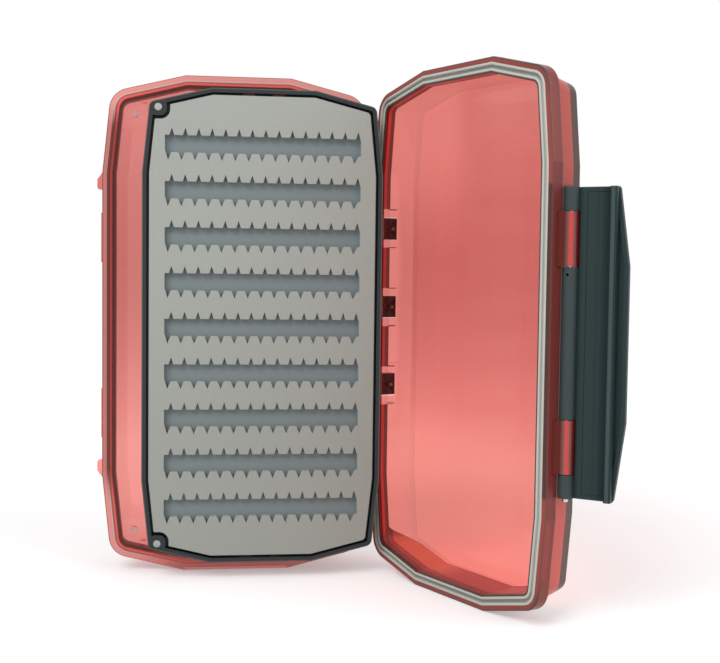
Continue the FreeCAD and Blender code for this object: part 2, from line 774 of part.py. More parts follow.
bead_sketch = sketch_on(latch, "latch_bead_outline", "XY_Plane", latch_low)
bead_mid = bead_tip - d.latch_bead_round
draw_loop(bead_sketch, [
    (plate_inner - d.latch_wall / 2, hook_y), (bead_tip, hook_y),
    (bead_tip, bead_end - d.latch_bead_round, d.latch_bead_round), (bead_mid, bead_end),
    (plate_inner - d.latch_wall / 2, bead_end)])
feature(latch, "Pad", "latch_bead", bead_sketch, Length=2 * d.latch_half)
latch_barrel = rod("latch_barrel_rod", d.latch_barrel, ZERO, ZERO, (latch_low, latch_high))
latch_removed = [rod("latch_bore", latch_hole, ZERO, ZERO,
                     (latch_low - d.cut_overrun, latch_high + d.cut_overrun))]
gap_reach = d.latch_barrel + d.side_clearance
for side, end_name in ((1, "upper"), (-1, "lower")):
    ends = sorted((latch_mid + side * (latch_knuckle[0] - d.side_clearance),
                   latch_mid + side * (latch_knuckle[1] + d.side_clearance)),
                  key=lambda s: s.value)
    latch_removed.append(rod(f"latch_gap_{end_name}", gap_reach, ZERO, ZERO, ends))
peep_level = latch_mid + d.latch_mid_half - d.latch_peep_edge
latch_removed.append(cross_rod("latch_peep", d.latch_peep_radius, "X",
                               (ZERO, d.latch_barrel + d.cut_overrun), ZERO, peep_level))
finish(cut("latch", fuse("latch_solid", [latch, latch_barrel]), latch_removed), "latch",
       latch_frame)
finish(rod("latch_pin", d.latch_pin_radius, latch_x, latch_y,
           (latch_low - d.latch_pin_end, latch_high)), "latch_pin", lid_frame)

# The leaf frame: a rim, a thin web at mid depth, bosses for two magnets and two lugs behind.

leaf = new_body("leaf_form")
leaf_outer = outline(leaf_inset, d.leaf_corner, leaf_x)
leaf_inner = outline(leaf_inset + d.leaf_ring, d.leaf_corner - d.leaf_ring, leaf_x)
leaf_ring = flat_sketch(leaf, "leaf_ring_outline", leaf_front, leaf_outer, leaf_inner)
feature(leaf, "Pad", "leaf_ring_pad", leaf_ring, Length=d.leaf_depth, Reversed=True)
web_inset = leaf_inset + d.leaf_ring / 2
leaf_web = flat_sketch(leaf, "leaf_web_outline", web_front,
                       outline(web_inset, d.leaf_corner - d.leaf_ring / 2, leaf_x))
feature(leaf, "Pad", "leaf_web_pad", leaf_web, Length=d.leaf_web, Reversed=True)

leaf_limit = new_body("leaf_limit")
limit_sketch = flat_sketch(leaf_limit, "leaf_limit_outline", leaf_front, leaf_outer)
feature(leaf_limit, "Pad", "leaf_limit_pad", limit_sketch, Length=d.leaf_depth, Reversed=True)
leaf_added = [leaf]
leaf_removed = []
boss_half = d.leaf_boss / 2
for end_name, level in magnet_heights.items():
    boss = box(f"leaf_boss_box_{end_name}", (magnet_x - boss_half, magnet_x + boss_half),
               (leaf_front, leaf_back), (level - boss_half, level + boss_half))
    rounded = doc.addObject("Part::Fillet", f"leaf_boss_round_{end_name}")
    rounded.Base = boss
    doc.recompute()
    rounded.Edges = [(int(name[4:]), d.leaf_boss_round.value, d.leaf_boss_round.value)
                     for name in edges_at(boss.Shape, lambda e: e.BoundBox.YLength > SAME)]
    leaf_added.append(common(f"leaf_boss_{end_name}", rounded, leaf_limit))
    for face_name, span in (("front", (leaf_front - d.cut_overrun, leaf_front + d.magnet_depth)),
                            ("back", (leaf_back - d.magnet_depth, leaf_back + d.cut_overrun))):
        leaf_removed.append(cross_rod(f"leaf_socket_{face_name}_{end_name}", d.magnet_radius, "Y",
                                      magnet_x, span, level))
for end_name, ends in lug_levels.items():
    leaf_added.append(box(f"leaf_lug_{end_name}",
                          (leaf_pivot[0] - d.arm_half_width, leaf_pivot[0] + d.arm_half_width),
                          (web_back - d.leaf_web / 2, leaf_pivot[1] + d.arm_half_width), ends))
    leaf_removed.append(rod(f"lug_hole_{end_name}", arm_hole, *leaf_pivot,
                            (ends[0] - d.cut_overrun, ends[1] + d.cut_overrun)))
window_edge = half_height - leaf_inset - d.leaf_ring
for end_name, side in (("top", 1), ("bottom", -1)):
    levels = sorted((mid_z + side * window_edge, mid_z + side * (window_edge - d.window_height)),
                    key=lambda s: s.value)
    for hand, turn in (("left", -1), ("right", 1)):
        middle = leaf_x + turn * d.window_spacing / 2
        leaf_removed.append(box(f"window_{end_name}_{hand}",
                                (middle - d.window_width / 2, middle + d.window_width / 2),
                                (web_front - d.cut_overrun, web_back + d.cut_overrun), levels))
finish(cut("leaf_frame", fuse("leaf_solid", leaf_added), leaf_removed), "leaf_frame",
       leaf_frame_place)

for end_name, level in magnet_heights.items():
    for face_name, span in (("front", (leaf_front, leaf_front + d.magnet_depth)),
                            ("back", (leaf_back - d.magnet_depth, leaf_back))):
        finish(cross_rod(f"leaf_magnet_{face_name}_{end_name}", d.magnet_radius, "Y", magnet_x,
                         span, level), f"leaf_magnet_{face_name}_{end_name}", leaf_frame_place)

# Foam sheets: a plain backing sheet on each side of the web, and a slotted sheet glued to it.

foam_inset = leaf_inset + d.leaf_ring + d.foam_gap
notch_half = d.notch_mouth / 2
slot_length = notch_half + (d.notch_count - 1) * d.notch_pitch + d.notch_pitch / 2
notches = int(d.notch_count.value)
rows = int(d.slot_rows.value)


def slot_loop(level):
    """One slot, notched along both long sides; the upper side is the lower one turned over."""
    left = leaf_x - slot_length / 2
    right = leaf_x + slot_length / 2
    low = level - d.slot_height / 2
    high = level + d.slot_height / 2
    loop = []
    for count in range(notches):
        tip = left + notch_half + count * d.notch_pitch
        loop += [(tip - notch_half, low), (tip, low - d.notch_depth), (tip + notch_half, low)]
    loop.append((right, low))
    for count in range(notches):
        tip = right - notch_half - count * d.notch_pitch
        loop += [(tip + notch_half, high), (tip, high + d.notch_depth), (tip - notch_half, high)]
    loop.append((left, high))
    return loop


def rounded_block(middle, level, half_x, half_z, radius):
    """A rectangle with rounded corners."""
    left, right = middle - half_x, middle + half_x
    low, high = level - half_z, level + half_z
    return [
        (left + radius, low), (right - radius, low, radius),
        (right, low + radius), (right, high - radius, radius),
        (right - radius, high), (left + radius, high, radius),
        (left, high - radius), (left, low + radius, radius)]


def sheet_form(name, glue_face, thick, sign):
    """A flat sheet with rounded openings round the bosses, and behind the web round the lugs."""
    body = new_body(name)
    shape = flat_sketch(body, name + "_outline", glue_face,
                        outline(foam_inset, d.foam_corner, leaf_x))
    feature(body, "Pad", name + "_pad", shape, Length=thick, Reversed=sign > 0)
    reach = boss_half + d.foam_relief
    openings = [rounded_block(magnet_x, level, reach, reach, d.foam_relief_round)
                for level in magnet_heights.values()]
    if sign > 0:
        half = d.arm_half_width + d.side_clearance
        for low, high in lug_levels.values():
            openings.append([
                (leaf_pivot[0] - half, low - d.side_clearance),
                (leaf_pivot[0] + half, low - d.side_clearance),
                (leaf_pivot[0] + half, high + d.side_clearance),
                (leaf_pivot[0] - half, high + d.side_clearance)])
    reliefs = flat_sketch(body, name + "_relief_outline", glue_face, *openings)
    feature(body, "Pocket", name + "_reliefs", reliefs, Length=thick, Reversed=sign < 0)
    return body


def foam_pieces(face_name, glue_face, sign):
    """The backing sheet and the slotted sheet on one side of the web."""
    backing_end = glue_face + sign * d.foam_backing
    thick = d.leaf_depth / 2 - d.leaf_web / 2 - d.foam_backing - d.foam_sink
    backing = sheet_form(f"{face_name}_backing_form", glue_face, d.foam_backing, sign)
    foam = sheet_form(f"{face_name}_foam_form", backing_end, thick, sign)
    first_row = mid_z - (rows - 1) * d.slot_pitch / 2
    slot_sketch = flat_sketch(foam, f"{face_name}_slot_outline", backing_end,
                              slot_loop(first_row))
    slot = feature(foam, "Pocket", f"{face_name}_slot", slot_sketch, Length=thick,
                   Reversed=sign < 0)
    pattern = foam.newObject("PartDesign::LinearPattern", f"{face_name}_slot_rows")
    pattern.Originals = [slot]
    pattern.Direction = (slot_sketch, ["V_Axis"])
    bind(pattern, Length=(d.slot_rows - 1) * d.slot_pitch)
    pattern.Occurrences = rows
    foam.Tip = pattern
    finish(backing, f"{face_name}_backing", leaf_frame_place)
    finish(foam, f"{face_name}_foam", leaf_frame_place)


foam_pieces("front", web_front, -1)
foam_pieces("back", web_back, 1)

# Two flat arms carry the leaf out of the base. Each lies along -X about its base pin.

def reach_of(one, other):
    """The lowest and the highest of two pieces' ends."""
    levels = sorted((*one, *other), key=lambda s: s.value)
    return levels[0], levels[-1]


for end_name, ends in arm_levels.items():
    arm = new_body(f"arm_form_{end_name}")
    arm_sketch = sketch_on(arm, f"arm_outline_{end_name}", "XY_Plane", ends[0])
    wide = d.arm_half_width
    draw_loop(arm_sketch, [
        (-d.arm_length, -wide), (ZERO, -wide, wide), (wide, ZERO, wide), (ZERO, wide),
        (-d.arm_length, wide, wide), (-d.arm_length - wide, ZERO, wide)])
    feature(arm, "Pad", f"arm_pad_{end_name}", arm_sketch, Length=d.arm_thick)
    holes = [rod(f"arm_hole_{spot}_{end_name}", arm_hole, x, ZERO,
                 (ends[0] - d.cut_overrun, ends[1] + d.cut_overrun))
             for spot, x in (("base", ZERO), ("leaf", -d.arm_length))]
    finish(cut(f"leaf_arm_{end_name}", arm, holes), f"leaf_arm_{end_name}", arm_frame)
    finish(rod(f"arm_base_pin_{end_name}", d.arm_pin_radius, *arm_pivot,
               reach_of(ends, ear_levels[end_name])), f"arm_base_pin_{end_name}")
    finish(rod(f"arm_leaf_pin_{end_name}", d.arm_pin_radius, *leaf_pivot,
               reach_of(ends, lug_levels[end_name])), f"arm_leaf_pin_{end_name}", leaf_frame_place)

doc.recompute()
for item in doc.Objects:
    if "Invalid" in item.State or "Error" in item.State:
        raise RuntimeError(f"{item.Name} did not build: {item.State}")
for label, item in parts.items():
    if item.Shape.isNull() or not item.Shape.isValid():
        raise RuntimeError(f"{label} has no valid shape")

os.makedirs("parts", exist_ok=True)
for label, item in parts.items():
    item.Shape.exportStep(f"parts/{label}.step")
    limits = item.Shape.BoundBox
    print(f"{label}: {len(item.Shape.Solids)} solid, volume {item.Shape.Volume:.1f}, "
          f"x {limits.XMin:.1f}..{limits.XMax:.1f}, y {limits.YMin:.1f}..{limits.YMax:.1f}, "
          f"z {limits.ZMin:.1f}..{limits.ZMax:.1f}")
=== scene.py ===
import json
import math

import bmesh
import bpy
from mathutils import Matrix, Vector


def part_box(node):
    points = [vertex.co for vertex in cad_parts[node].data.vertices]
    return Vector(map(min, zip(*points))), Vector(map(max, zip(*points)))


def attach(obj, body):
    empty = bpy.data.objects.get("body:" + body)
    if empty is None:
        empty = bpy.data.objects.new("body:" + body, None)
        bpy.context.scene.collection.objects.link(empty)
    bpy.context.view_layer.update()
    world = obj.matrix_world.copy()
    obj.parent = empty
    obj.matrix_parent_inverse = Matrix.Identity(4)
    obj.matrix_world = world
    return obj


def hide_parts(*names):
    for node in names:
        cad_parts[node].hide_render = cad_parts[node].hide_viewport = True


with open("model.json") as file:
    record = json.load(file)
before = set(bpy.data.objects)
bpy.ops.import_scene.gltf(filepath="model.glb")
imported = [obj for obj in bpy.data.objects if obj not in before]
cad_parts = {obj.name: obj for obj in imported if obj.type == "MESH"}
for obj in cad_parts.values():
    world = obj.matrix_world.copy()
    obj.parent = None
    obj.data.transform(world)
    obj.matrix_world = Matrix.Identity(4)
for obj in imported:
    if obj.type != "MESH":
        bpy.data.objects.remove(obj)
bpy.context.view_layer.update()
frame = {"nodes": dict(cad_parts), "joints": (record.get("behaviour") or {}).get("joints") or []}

# The red base half, moulded in clear tinted plastic: a deep tray with a broad rim, a tongue
# round the rim that closes into the seal, hinge knuckles and two posts for magnets.
# It is one moulding, polished inside and out. Its rim and the top of its walls are painted in
# bands of red that stand for light and shade: painted highlights and painted shade.

MM = 0.001
BASE_LOW, BASE_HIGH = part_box("base_shell")
BOX_HEIGHT = BASE_HIGH.z - BASE_LOW.z
BOX_WIDTH = 111 * MM
RIM_FACE = -2.75 * MM
TOP_FLAT_HALF = 21.7 * MM
CHEEK_HALF = 62.4 * MM
SHOULDER_SLOPE = math.radians(14.0)
CHEEK_SLOPE = math.radians(5.9)
CORNER_RADIUS = 9.0 * MM
MOULD_ROUND = 0.15 * MM

BASE_TINT = (0.83, 0.46, 0.44, 1)
BASE_TINT_LOW = (1.0, 0.605, 0.575, 1)
PLASTIC_RED = (0.62, 0.045, 0.04, 1)
PLASTIC_IOR = 1.58
RED_BASE = 0.09
RED_IN_HAZE = 0.02
RED_AT_EDGE = 0.10
GLAZE_BLUR = 0.10
HAZE_BLUR = 0.04
MIRROR = 0.015
MIRROR_AT_EDGE = 0.12
MIRROR_BLUR = 0.12

# Where a paint comes in or goes out: the place where it begins to, and where it ends.
RIM_FADE = (RIM_FACE + 0.3 * MM, RIM_FACE + 0.8 * MM)
WALL_FROM = (5.1 * MM, 5.3 * MM)
WALL_TO = (3.1 * MM, 3.5 * MM)
TOP_END = (183 * MM, 195 * MM)
FOOT_END = (28 * MM, 45 * MM)
FOOT_EDGE = (4 * MM, 9 * MM)
# How much of each paint shows, and how much it shines.
RIM_SHARE = 0.94
RIM_LESS_AT_FOOT = 0.55
WALL_SHARE = 0.92
BASE_SHEEN = 0.12

# How bright the lamps and the white room make a white paint, with 1 as the screen's white.
SHOWN_WHITE = 1.15


class Wire:
    """A socket of a shader, so that the maths of a surface reads as plain Python."""

    def __init__(self, tree, socket=None):
        self.tree = tree
        self.socket = socket

    def node(self, kind, settings=None, output=None, **values):
        """Any other node: its type, its settings, then the values or links of its sockets.

        The setting "stops" is for a ramp: its pairs of a place, from 0 to 1, and a colour.
        """
        made = self.tree.nodes.new("ShaderNode" + kind)
        for name, value in (settings or {}).items():
            if name == "stops":
                ramp = made.color_ramp
                while len(ramp.elements) < len(value):
                    ramp.elements.new(0.5)
                for element, (position, colour) in zip(ramp.elements, value):
                    element.position = position
                    element.color = colour
            else:
                setattr(made, name, value)
        for name, value in values.items():
            label = name.replace("_", " ")
            target = next(s for s in made.inputs if s.enabled and s.name == label)
            if isinstance(value, Wire):
                self.tree.links.new(value.socket, target)
            else:
                target.default_value = value
        outputs = [s for s in made.outputs if s.enabled]
        found = outputs[0] if output is None else next(s for s in outputs if s.name == output)
        return Wire(self.tree, found)

    def maths(self, operation, *operands):
        """A Math node on wires and numbers."""
        made = self.tree.nodes.new("ShaderNodeMath")
        made.operation = operation
        for target, value in zip(made.inputs, operands):
            if isinstance(value, Wire):
                self.tree.links.new(value.socket, target)
            else:
                target.default_value = value
        return Wire(self.tree, made.outputs[0])

    def __add__(self, other):
        return self.maths("ADD", self, other)

    __radd__ = __add__

    def __sub__(self, other):
        return self.maths("SUBTRACT", self, other)

    def __rsub__(self, other):
        return self.maths("SUBTRACT", other, self)

    def __mul__(self, other):
        return self.maths("MULTIPLY", self, other)

    __rmul__ = __mul__

    def __truediv__(self, other):
        return self.maths("DIVIDE", self, other)

    def __rtruediv__(self, other):
        return self.maths("DIVIDE", other, self)

    def __abs__(self):
        return self.maths("ABSOLUTE", self)

    def root(self):
        return self.maths("SQRT", self)

    def lower_of(self, other):
        return self.maths("MINIMUM", self, other)

    def higher_of(self, other):
        return self.maths("MAXIMUM", self, other)

    def ramp(self, low, high):
        """0 below low, 1 above high, and smooth between them."""
        return self.node("MapRange", {"interpolation_type": "SMOOTHSTEP"}, Value=self,
                         From_Min=low, From_Max=high)

    def band(self, low, high, soft):
        """1 between low and high and 0 outside, with soft edges."""
        return self.ramp(low - soft, low + soft) * (1 - self.ramp(high - soft, high + soft))

    def tones(self, places):
        """A colour read off along this wire: pairs of a place and a colour, from low to high."""
        low, high = places[0][0], places[-1][0]
        stops = [((place - low) / (high - low), colour) for place, colour in places]
        return self.node("ValToRGB", {"stops": stops}, Fac=(self - low) / (high - low))

    def blend(self, colour, other):
        """A mix of two colours, with this wire as the share of the second."""
        return self.node("Mix", {"data_type": "RGBA"}, Factor=self, A=colour, B=other)

    def over(self, shader, other):
        """A mix of two shaders, with this wire as the share of the second."""
        made = self.tree.nodes.new("ShaderNodeMixShader")
        for target, value in zip(made.inputs, (self, shader, other)):
            self.tree.links.new(value.socket, target)
        return Wire(self.tree, made.outputs[0])


def new_material(name):
    """A bare material and a wire to begin its maths with."""
    material = bpy.data.materials.new(name)
    material.use_nodes = True
    tree = material.node_tree
    tree.nodes.clear()
    return material, Wire(tree)


def show(start, surface):
    """Makes a shader the surface of its material."""
    output = start.tree.nodes.new("ShaderNodeOutputMaterial")
    start.tree.links.new(surface.socket, output.inputs["Surface"])


def object_place(start):
    """Where a point of the piece is, in its own metres."""
    return start.node("TexCoord", output="Object")


def spot(start):
    """The same place, and with it the three coordinates of the place as wires of their own."""
    place = object_place(start)
    sockets = start.node("SeparateXYZ", Vector=place).socket.node.outputs
    return place, [Wire(start.tree, sockets[axis]) for axis in "XYZ"]


def noise(place, scale, detail):
    """Soft random patches, from 0 to 1, more of them the larger the scale."""
    return place.node("TexNoise", Vector=place, Scale=scale, Detail=detail)


def depth_inside(across, up):
    """How far inside the rounded outline a point lies that is across and up from its middle."""
    side = BOX_WIDTH / 2 - abs(across)
    top = BOX_HEIGHT / 2 - abs(up)
    cheek = (BOX_WIDTH / 2 * math.cos(CHEEK_SLOPE) + CHEEK_HALF * math.sin(CHEEK_SLOPE)
             - abs(across) * math.cos(CHEEK_SLOPE) - abs(up) * math.sin(CHEEK_SLOPE))
    shoulder = (BOX_HEIGHT / 2 * math.cos(SHOULDER_SLOPE)
                + TOP_FLAT_HALF * math.sin(SHOULDER_SLOPE)
                - abs(up) * math.cos(SHOULDER_SLOPE) - abs(across) * math.sin(SHOULDER_SLOPE))
    corner = math.sin(SHOULDER_SLOPE + CHEEK_SLOPE)
    past_cheek = (CORNER_RADIUS - cheek).higher_of(0)
    past_shoulder = (CORNER_RADIUS - shoulder).higher_of(0)
    one = past_cheek.higher_of(past_shoulder * corner)
    other = past_shoulder.higher_of(past_cheek * corner)
    square = (one * one + other * other - 2 * corner * one * other) / (1 - corner ** 2)
    return (CORNER_RADIUS - square.root()).lower_of(side).lower_of(top)


def tone(red, green, blue, light=SHOWN_WHITE):
    """The paint that shows at these screen levels, 0 to 255, under light of this strength."""
    levels = [channel / 255 for channel in (red, green, blue)]
    linear = [((level + 0.055) / 1.055) ** 2.4 for level in levels]
    return (*[min(channel / light, 1.0) for channel in linear], 1)


def grey(level):
    """A grey of this level, from 0 to 1."""
    return (level, level, level, 1)


STRIPE_SOFT = 0.08 * MM


def striped(*ends):
    """The places and colours of plain stripes: where each one ends, in mm, and its colour."""
    places = [(0.0, ends[0][1])]
    for (end, colour), (_, after) in zip(ends, ends[1:]):
        places += [(end * MM - STRIPE_SOFT, colour), (end * MM + STRIPE_SOFT, after)]
    return places + [(ends[-1][0] * MM, ends[-1][1])]


def faded(*levels):
    """The places and greys of a slow change: places in mm, and a level from 0 to 1 at each."""
    return [(place * MM, grey(level)) for place, level in levels]


MERGE_REACH = 0.001 * MM
SHARP_ANGLE = math.radians(35)


def soften(node, width):
    """Breaks the sharp edges of a machined or moulded piece a little, so that they take light."""
    merge = node.modifiers.new("merge", "WELD")
    merge.merge_threshold = MERGE_REACH
    edges = node.modifiers.new("edges", "BEVEL")
    edges.width = width
    edges.segments = 2
    edges.limit_method = "ANGLE"
    edges.angle_limit = SHARP_ANGLE
    edges.use_clamp_overlap = True
    edges.harden_normals = False


def dress(node, material):
    """Gives a piece one material in place of all it has."""
    node.data.materials.clear()
    node.data.materials.append(material)
    for face in node.data.polygons:
        face.use_smooth = False


# How much of the paler tint shows at each height above the floor, whose light comes up through it.
BASE_LIGHT = faded(
    (12, 0.7), (27, 1.0), (49, 1.0), (70, 0.42), (92, 0.18), (113, 0.06), (130, 0.0),
    (155, 0.1), (177, 0.32), (196, 0.5))
# The rim's paints, by inset from the outline, are bands of painted light and shade: a dark line at
# the edge, pale and dark bands, and at the ends a pale highlight line.
SIDE_RIM = striped(
    (0.45, tone(126, 74, 72)), (1.9, tone(198, 124, 118)), (3.3, tone(100, 52, 48)),
    (4.3, tone(165, 62, 58)), (6.5, tone(85, 42, 38)))
END_RIM = striped(
    (0.4, tone(142, 88, 84)), (2.2, tone(232, 154, 147)), (2.6, tone(211, 187, 185)),
    (3.3, tone(160, 100, 93)), (4.3, tone(230, 98, 90)), (6.5, tone(85, 42, 38)))
# Painted shade on the top of the base's inner walls.
PAINTED_WALL_SHADE = tone(73, 24, 20)


def clear_red(start, light, tint, low_tint):
    """Tinted clear plastic, paler where more light from the floor comes through it."""
    return light.over(start.node("BsdfTransparent", Color=tint),
                      start.node("BsdfTransparent", Color=low_tint))


def glazed(start, clear, haze, share, facing):
    """Clear plastic with a share of red in it, and a polished face that mirrors a little."""
    red = start.node("BsdfPrincipled", Base_Color=PLASTIC_RED,
                     Roughness=GLAZE_BLUR + HAZE_BLUR * haze, IOR=PLASTIC_IOR)
    shine = start.node("BsdfPrincipled", Base_Color=grey(1.0), Metallic=1.0,
                       Roughness=MIRROR_BLUR)
    mirror = MIRROR + MIRROR_AT_EDGE * facing * facing
    return mirror.over(share.over(clear, red), shine)


def grazing(start):
    """0 where a face is seen square on, and 1 where it is seen from its edge, for the gloss."""
    return start.node("LayerWeight", output="Facing", Blend=0.35)


def painted(start, colour, sheen, blur=0.3):
    """A satin face of painted colour, plain or striped, that carries the painted light and shade
    where the edges of the moulding bend the light.
    """
    return start.node("BsdfPrincipled", Base_Color=colour, Roughness=blur,
                      Specular_IOR_Level=sheen)


base_plastic, start = new_material("red_base_plastic")
place, (across, deep, up) = spot(start)
inside = depth_inside(across, up - BOX_HEIGHT / 2)
haze = noise(place, scale=14.0, detail=3.0)
facing = grazing(start)
clear = clear_red(start, up.tones(BASE_LIGHT), BASE_TINT, BASE_TINT_LOW)
body = glazed(start, clear, haze, RED_BASE + RED_IN_HAZE * haze + RED_AT_EDGE * facing, facing)

# Painted shade on the top of the inner walls, and the rim's bands of painted light and shade over
# it, with less of the rim paint at the foot.
on_wall = inside.ramp(*WALL_FROM) * (1 - deep.ramp(*WALL_TO))
on_rim = 1 - deep.ramp(*RIM_FADE)
at_foot = 1 - up.ramp(*FOOT_EDGE)
near_end = up.ramp(*TOP_END).higher_of(1 - up.ramp(*FOOT_END))
rim_colour = near_end.blend(inside.tones(SIDE_RIM), inside.tones(END_RIM))
surface = (WALL_SHARE * on_wall).over(body, painted(start, PAINTED_WALL_SHADE, BASE_SHEEN))
surface = (on_rim * (RIM_SHARE - RIM_LESS_AT_FOOT * at_foot)).over(
    surface, painted(start, rim_colour, BASE_SHEEN))
show(start, surface)
dress(frame["nodes"]["base_shell"], base_plastic)
soften(frame["nodes"]["base_shell"], MOULD_ROUND)

# The red lid half: the same clear tinted plastic, shallower, with a seat for the seal, pockets for
# the hinge blocks and the knuckles that hold the latch. Its face is cut into faint facets. Its
# rim, walls and knuckles are painted in stripes of light and shade: painted highlights, painted
# shade and the painted shadow of the latch.


def joint(name):
    """One of the frame's joints."""
    return next(j for j in frame["joints"] if j["name"] == name)


HINGE_SPOT = Vector(joint("lid_hinge")["pos_m"])
LID_OPEN = math.radians(-joint("lid_hinge")["range_deg"][0])
LID_MIDDLE = 55.9 * MM
LID_RIM = 0.5 * MM
BLOCK_BOXES = [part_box(f"hinge_block_{number}") for number in (1, 2, 3)]
BLOCK_LEVELS = [(low.z + high.z) / 2 for low, high in BLOCK_BOXES]
BLOCK_HALF = (BLOCK_BOXES[0][1].z - BLOCK_BOXES[0][0].z) / 2
POCKET_HALF = 8.1 * MM

LID_TINT = (0.82, 0.42, 0.40, 1)
LID_TINT_LOW = (1.0, 0.575, 0.535, 1)
BLOCK_TINT = (0.93, 0.88, 0.88, 1)
# Painted shade for the ends of the hinge pockets.
POCKET_EDGE_SHADE = tone(70, 24, 24)
# As for the base: how much of the paler tint shows at each height.
LID_LIGHT = faded(
    (10, 1.0), (27, 1.0), (49, 0.95), (58, 0.82), (72, 0.42), (92, 0.21), (113, 0.1),
    (130, 0.02), (155, 0.1), (177, 0.28), (196, 0.38))
# The lid's paints, as stripes by inset or by depth, stand for light and shade: painted highlights
# and painted shade where the clear walls bend the light, and a dark line of painted shade just
# inside the seal.
LID_RIM_STRIPES = striped(
    (0.35, tone(110, 74, 70)), (2.0, tone(158, 73, 66)), (5.3, tone(120, 90, 84)),
    (7, tone(75, 75, 70)))
END_RIM_STRIPES = striped(
    (0.6, tone(75, 70, 66)), (2.0, tone(145, 68, 62)), (5.3, tone(120, 90, 84)),
    (7, tone(68, 66, 62)))
# Darker beside the latch: the painted shadow of the latch on the rim.
LATCH_SHADOW_RIM_STRIPES = striped(
    (0.35, tone(90, 60, 56)), (2.0, tone(84, 52, 45)), (5.3, tone(110, 84, 78)),
    (7, tone(75, 75, 70)))
# The inner side walls, in stripes of painted light and shade by depth.
INNER_WALL_STRIPES = striped(
    (1.0, tone(80, 52, 49)), (2.0, tone(125, 24, 22)), (3.4, tone(205, 45, 40)),
    (4.4, tone(110, 30, 28)), (7, tone(92, 27, 25)))
# The end walls of the lid, painted in shade, darkest near the rim.
LOW_END_STRIPES = striped(
    (1.0, tone(68, 34, 32)), (2.2, tone(76, 25, 27)), (4.6, tone(116, 43, 45)),
    (7.0, tone(158, 60, 56)), (17, tone(217, 97, 77)))
FAR_END_STRIPES = striped(
    (1.0, tone(68, 34, 32)), (2.2, tone(76, 25, 27)), (5.4, tone(112, 36, 40)),
    (17, tone(180, 68, 66)))
# The outer walls: a shaded copy, and a lit copy for where more light comes up from the floor.
OUTER_WALL_STRIPES = striped(
    (1.0, tone(104, 66, 62)), (5.7, tone(122, 62, 57)), (14.3, tone(176, 80, 72)),
    (20, tone(58, 55, 50)))
LIT_LOW_WALL_STRIPES = striped(
    (1.0, tone(110, 66, 62)), (5.7, tone(134, 62, 56)), (14.3, tone(205, 92, 84)),
    (20, tone(64, 62, 58)))
# Darker beside the latch: the painted shadow of the latch on the outer wall.
LATCH_SHADOW_SIDE_STRIPES = striped(
    (1.0, tone(84, 48, 42)), (5.7, tone(106, 46, 43)), (14.3, tone(98, 34, 32)),
    (20, tone(60, 54, 52)))
# The knuckle's painted light and shade across the barrel from its left edge: a bright red stripe
# down the middle and darker edges.
KNUCKLE_LIGHT_AND_SHADE = striped(
    (0.3, tone(104, 46, 42)), (1.3, tone(128, 84, 78)), (2.9, tone(205, 75, 70)),
    (4.0, tone(130, 80, 75)), (5.8, tone(125, 22, 22)))
KNUCKLE_LEFT = 109.9 * MM
# Each facet strip of the face takes its own share of red: painted shade that steps from facet to
# facet.
FACET_SHADE_SHARES = striped(
    (37.4, grey(0.100)), (55.9, grey(0.115)), (74.4, grey(0.095)), (111, grey(0.125)))

# Where a tint or a paint comes in or goes out. UP is from the floor, OFF from the middle of the
# height, OUT from the hinge, DEEP behind the rim, IN from the outline, and SLANT along the
# leaning wall in front of the blocks.
LID_END_OFF = (84 * MM, 92 * MM)
LATCH_OFF = (54 * MM, 56 * MM)
FOOT_HALF_UP = (90 * MM, 110 * MM)
TOP_HALF_UP = (125 * MM, 185 * MM)
LATCH_SIDE_OUT = (80 * MM, 100 * MM)
HINGE_SIDE_OUT = (28 * MM, 60 * MM)
HINGE_WALL_OUT = (6.6 * MM, 7.0 * MM)
HINGE_WALL_DEEP = (17.8 * MM, 18.0 * MM)
END_TURN_OUT = (38 * MM, 52 * MM)
POCKET_OUT = (20 * MM, 22 * MM)
POCKET_EDGE_OUT = (7.0 * MM, 7.4 * MM)
POCKET_EDGE_SLANT = (9.0 * MM, 12.7 * MM, 0.2 * MM)
BLOCK_OUT = (8.0 * MM, 8.5 * MM)
BLOCK_SLANT = (12.6 * MM, 12.8 * MM)
RIM_DEEP = (LID_RIM + 0.2 * MM, LID_RIM + 0.5 * MM)
OUTER_WALL_IN = (5.6 * MM, 5.8 * MM)
INNER_WALL_IN = (5.8 * MM, 5.9 * MM)
INNER_WALL_END = (6.9 * MM, 7.2 * MM)
OUTER_EDGE_DEEP = (16.4 * MM, 16.6 * MM)
OUTER_EDGE_IN = (6.6 * MM, 7.0 * MM)
KNUCKLE_OUT = (111.3 * MM, 111.5 * MM)
WALL_LEAN = 0.64
PAINT_DEPTH = 5.0 * MM
MORE_AT_LOW_END = 11.2 * MM
PAINT_SOFT = 0.4 * MM
TURN_SOFT = 0.2 * MM
POCKET_EDGE = 0.3 * MM
POCKET_EDGE_SOFT = 0.05 * MM

# How much of the paler tint or of each paint shows where it is strongest.
HINGE_WALL_LIGHT = 0.7
TOP_HALF_LIGHT = 0.6
RED_LESS_IN_LIGHT = 0.65
RED_LESS_AT_BLOCK = 0.95
PAINT_LESS_AT_POCKET = 0.85
INNER_WALL_SHARE = 0.9
POCKET_EDGE_SHARE = 0.75
OUTER_SHARE = 0.12
OUTER_MORE_AT_LATCH = 0.80
LID_RIM_SHARE = 0.94
KNUCKLE_SHARE = 0.85
WALL_SHEEN = 0.15
OUTER_SHEEN = 0.3


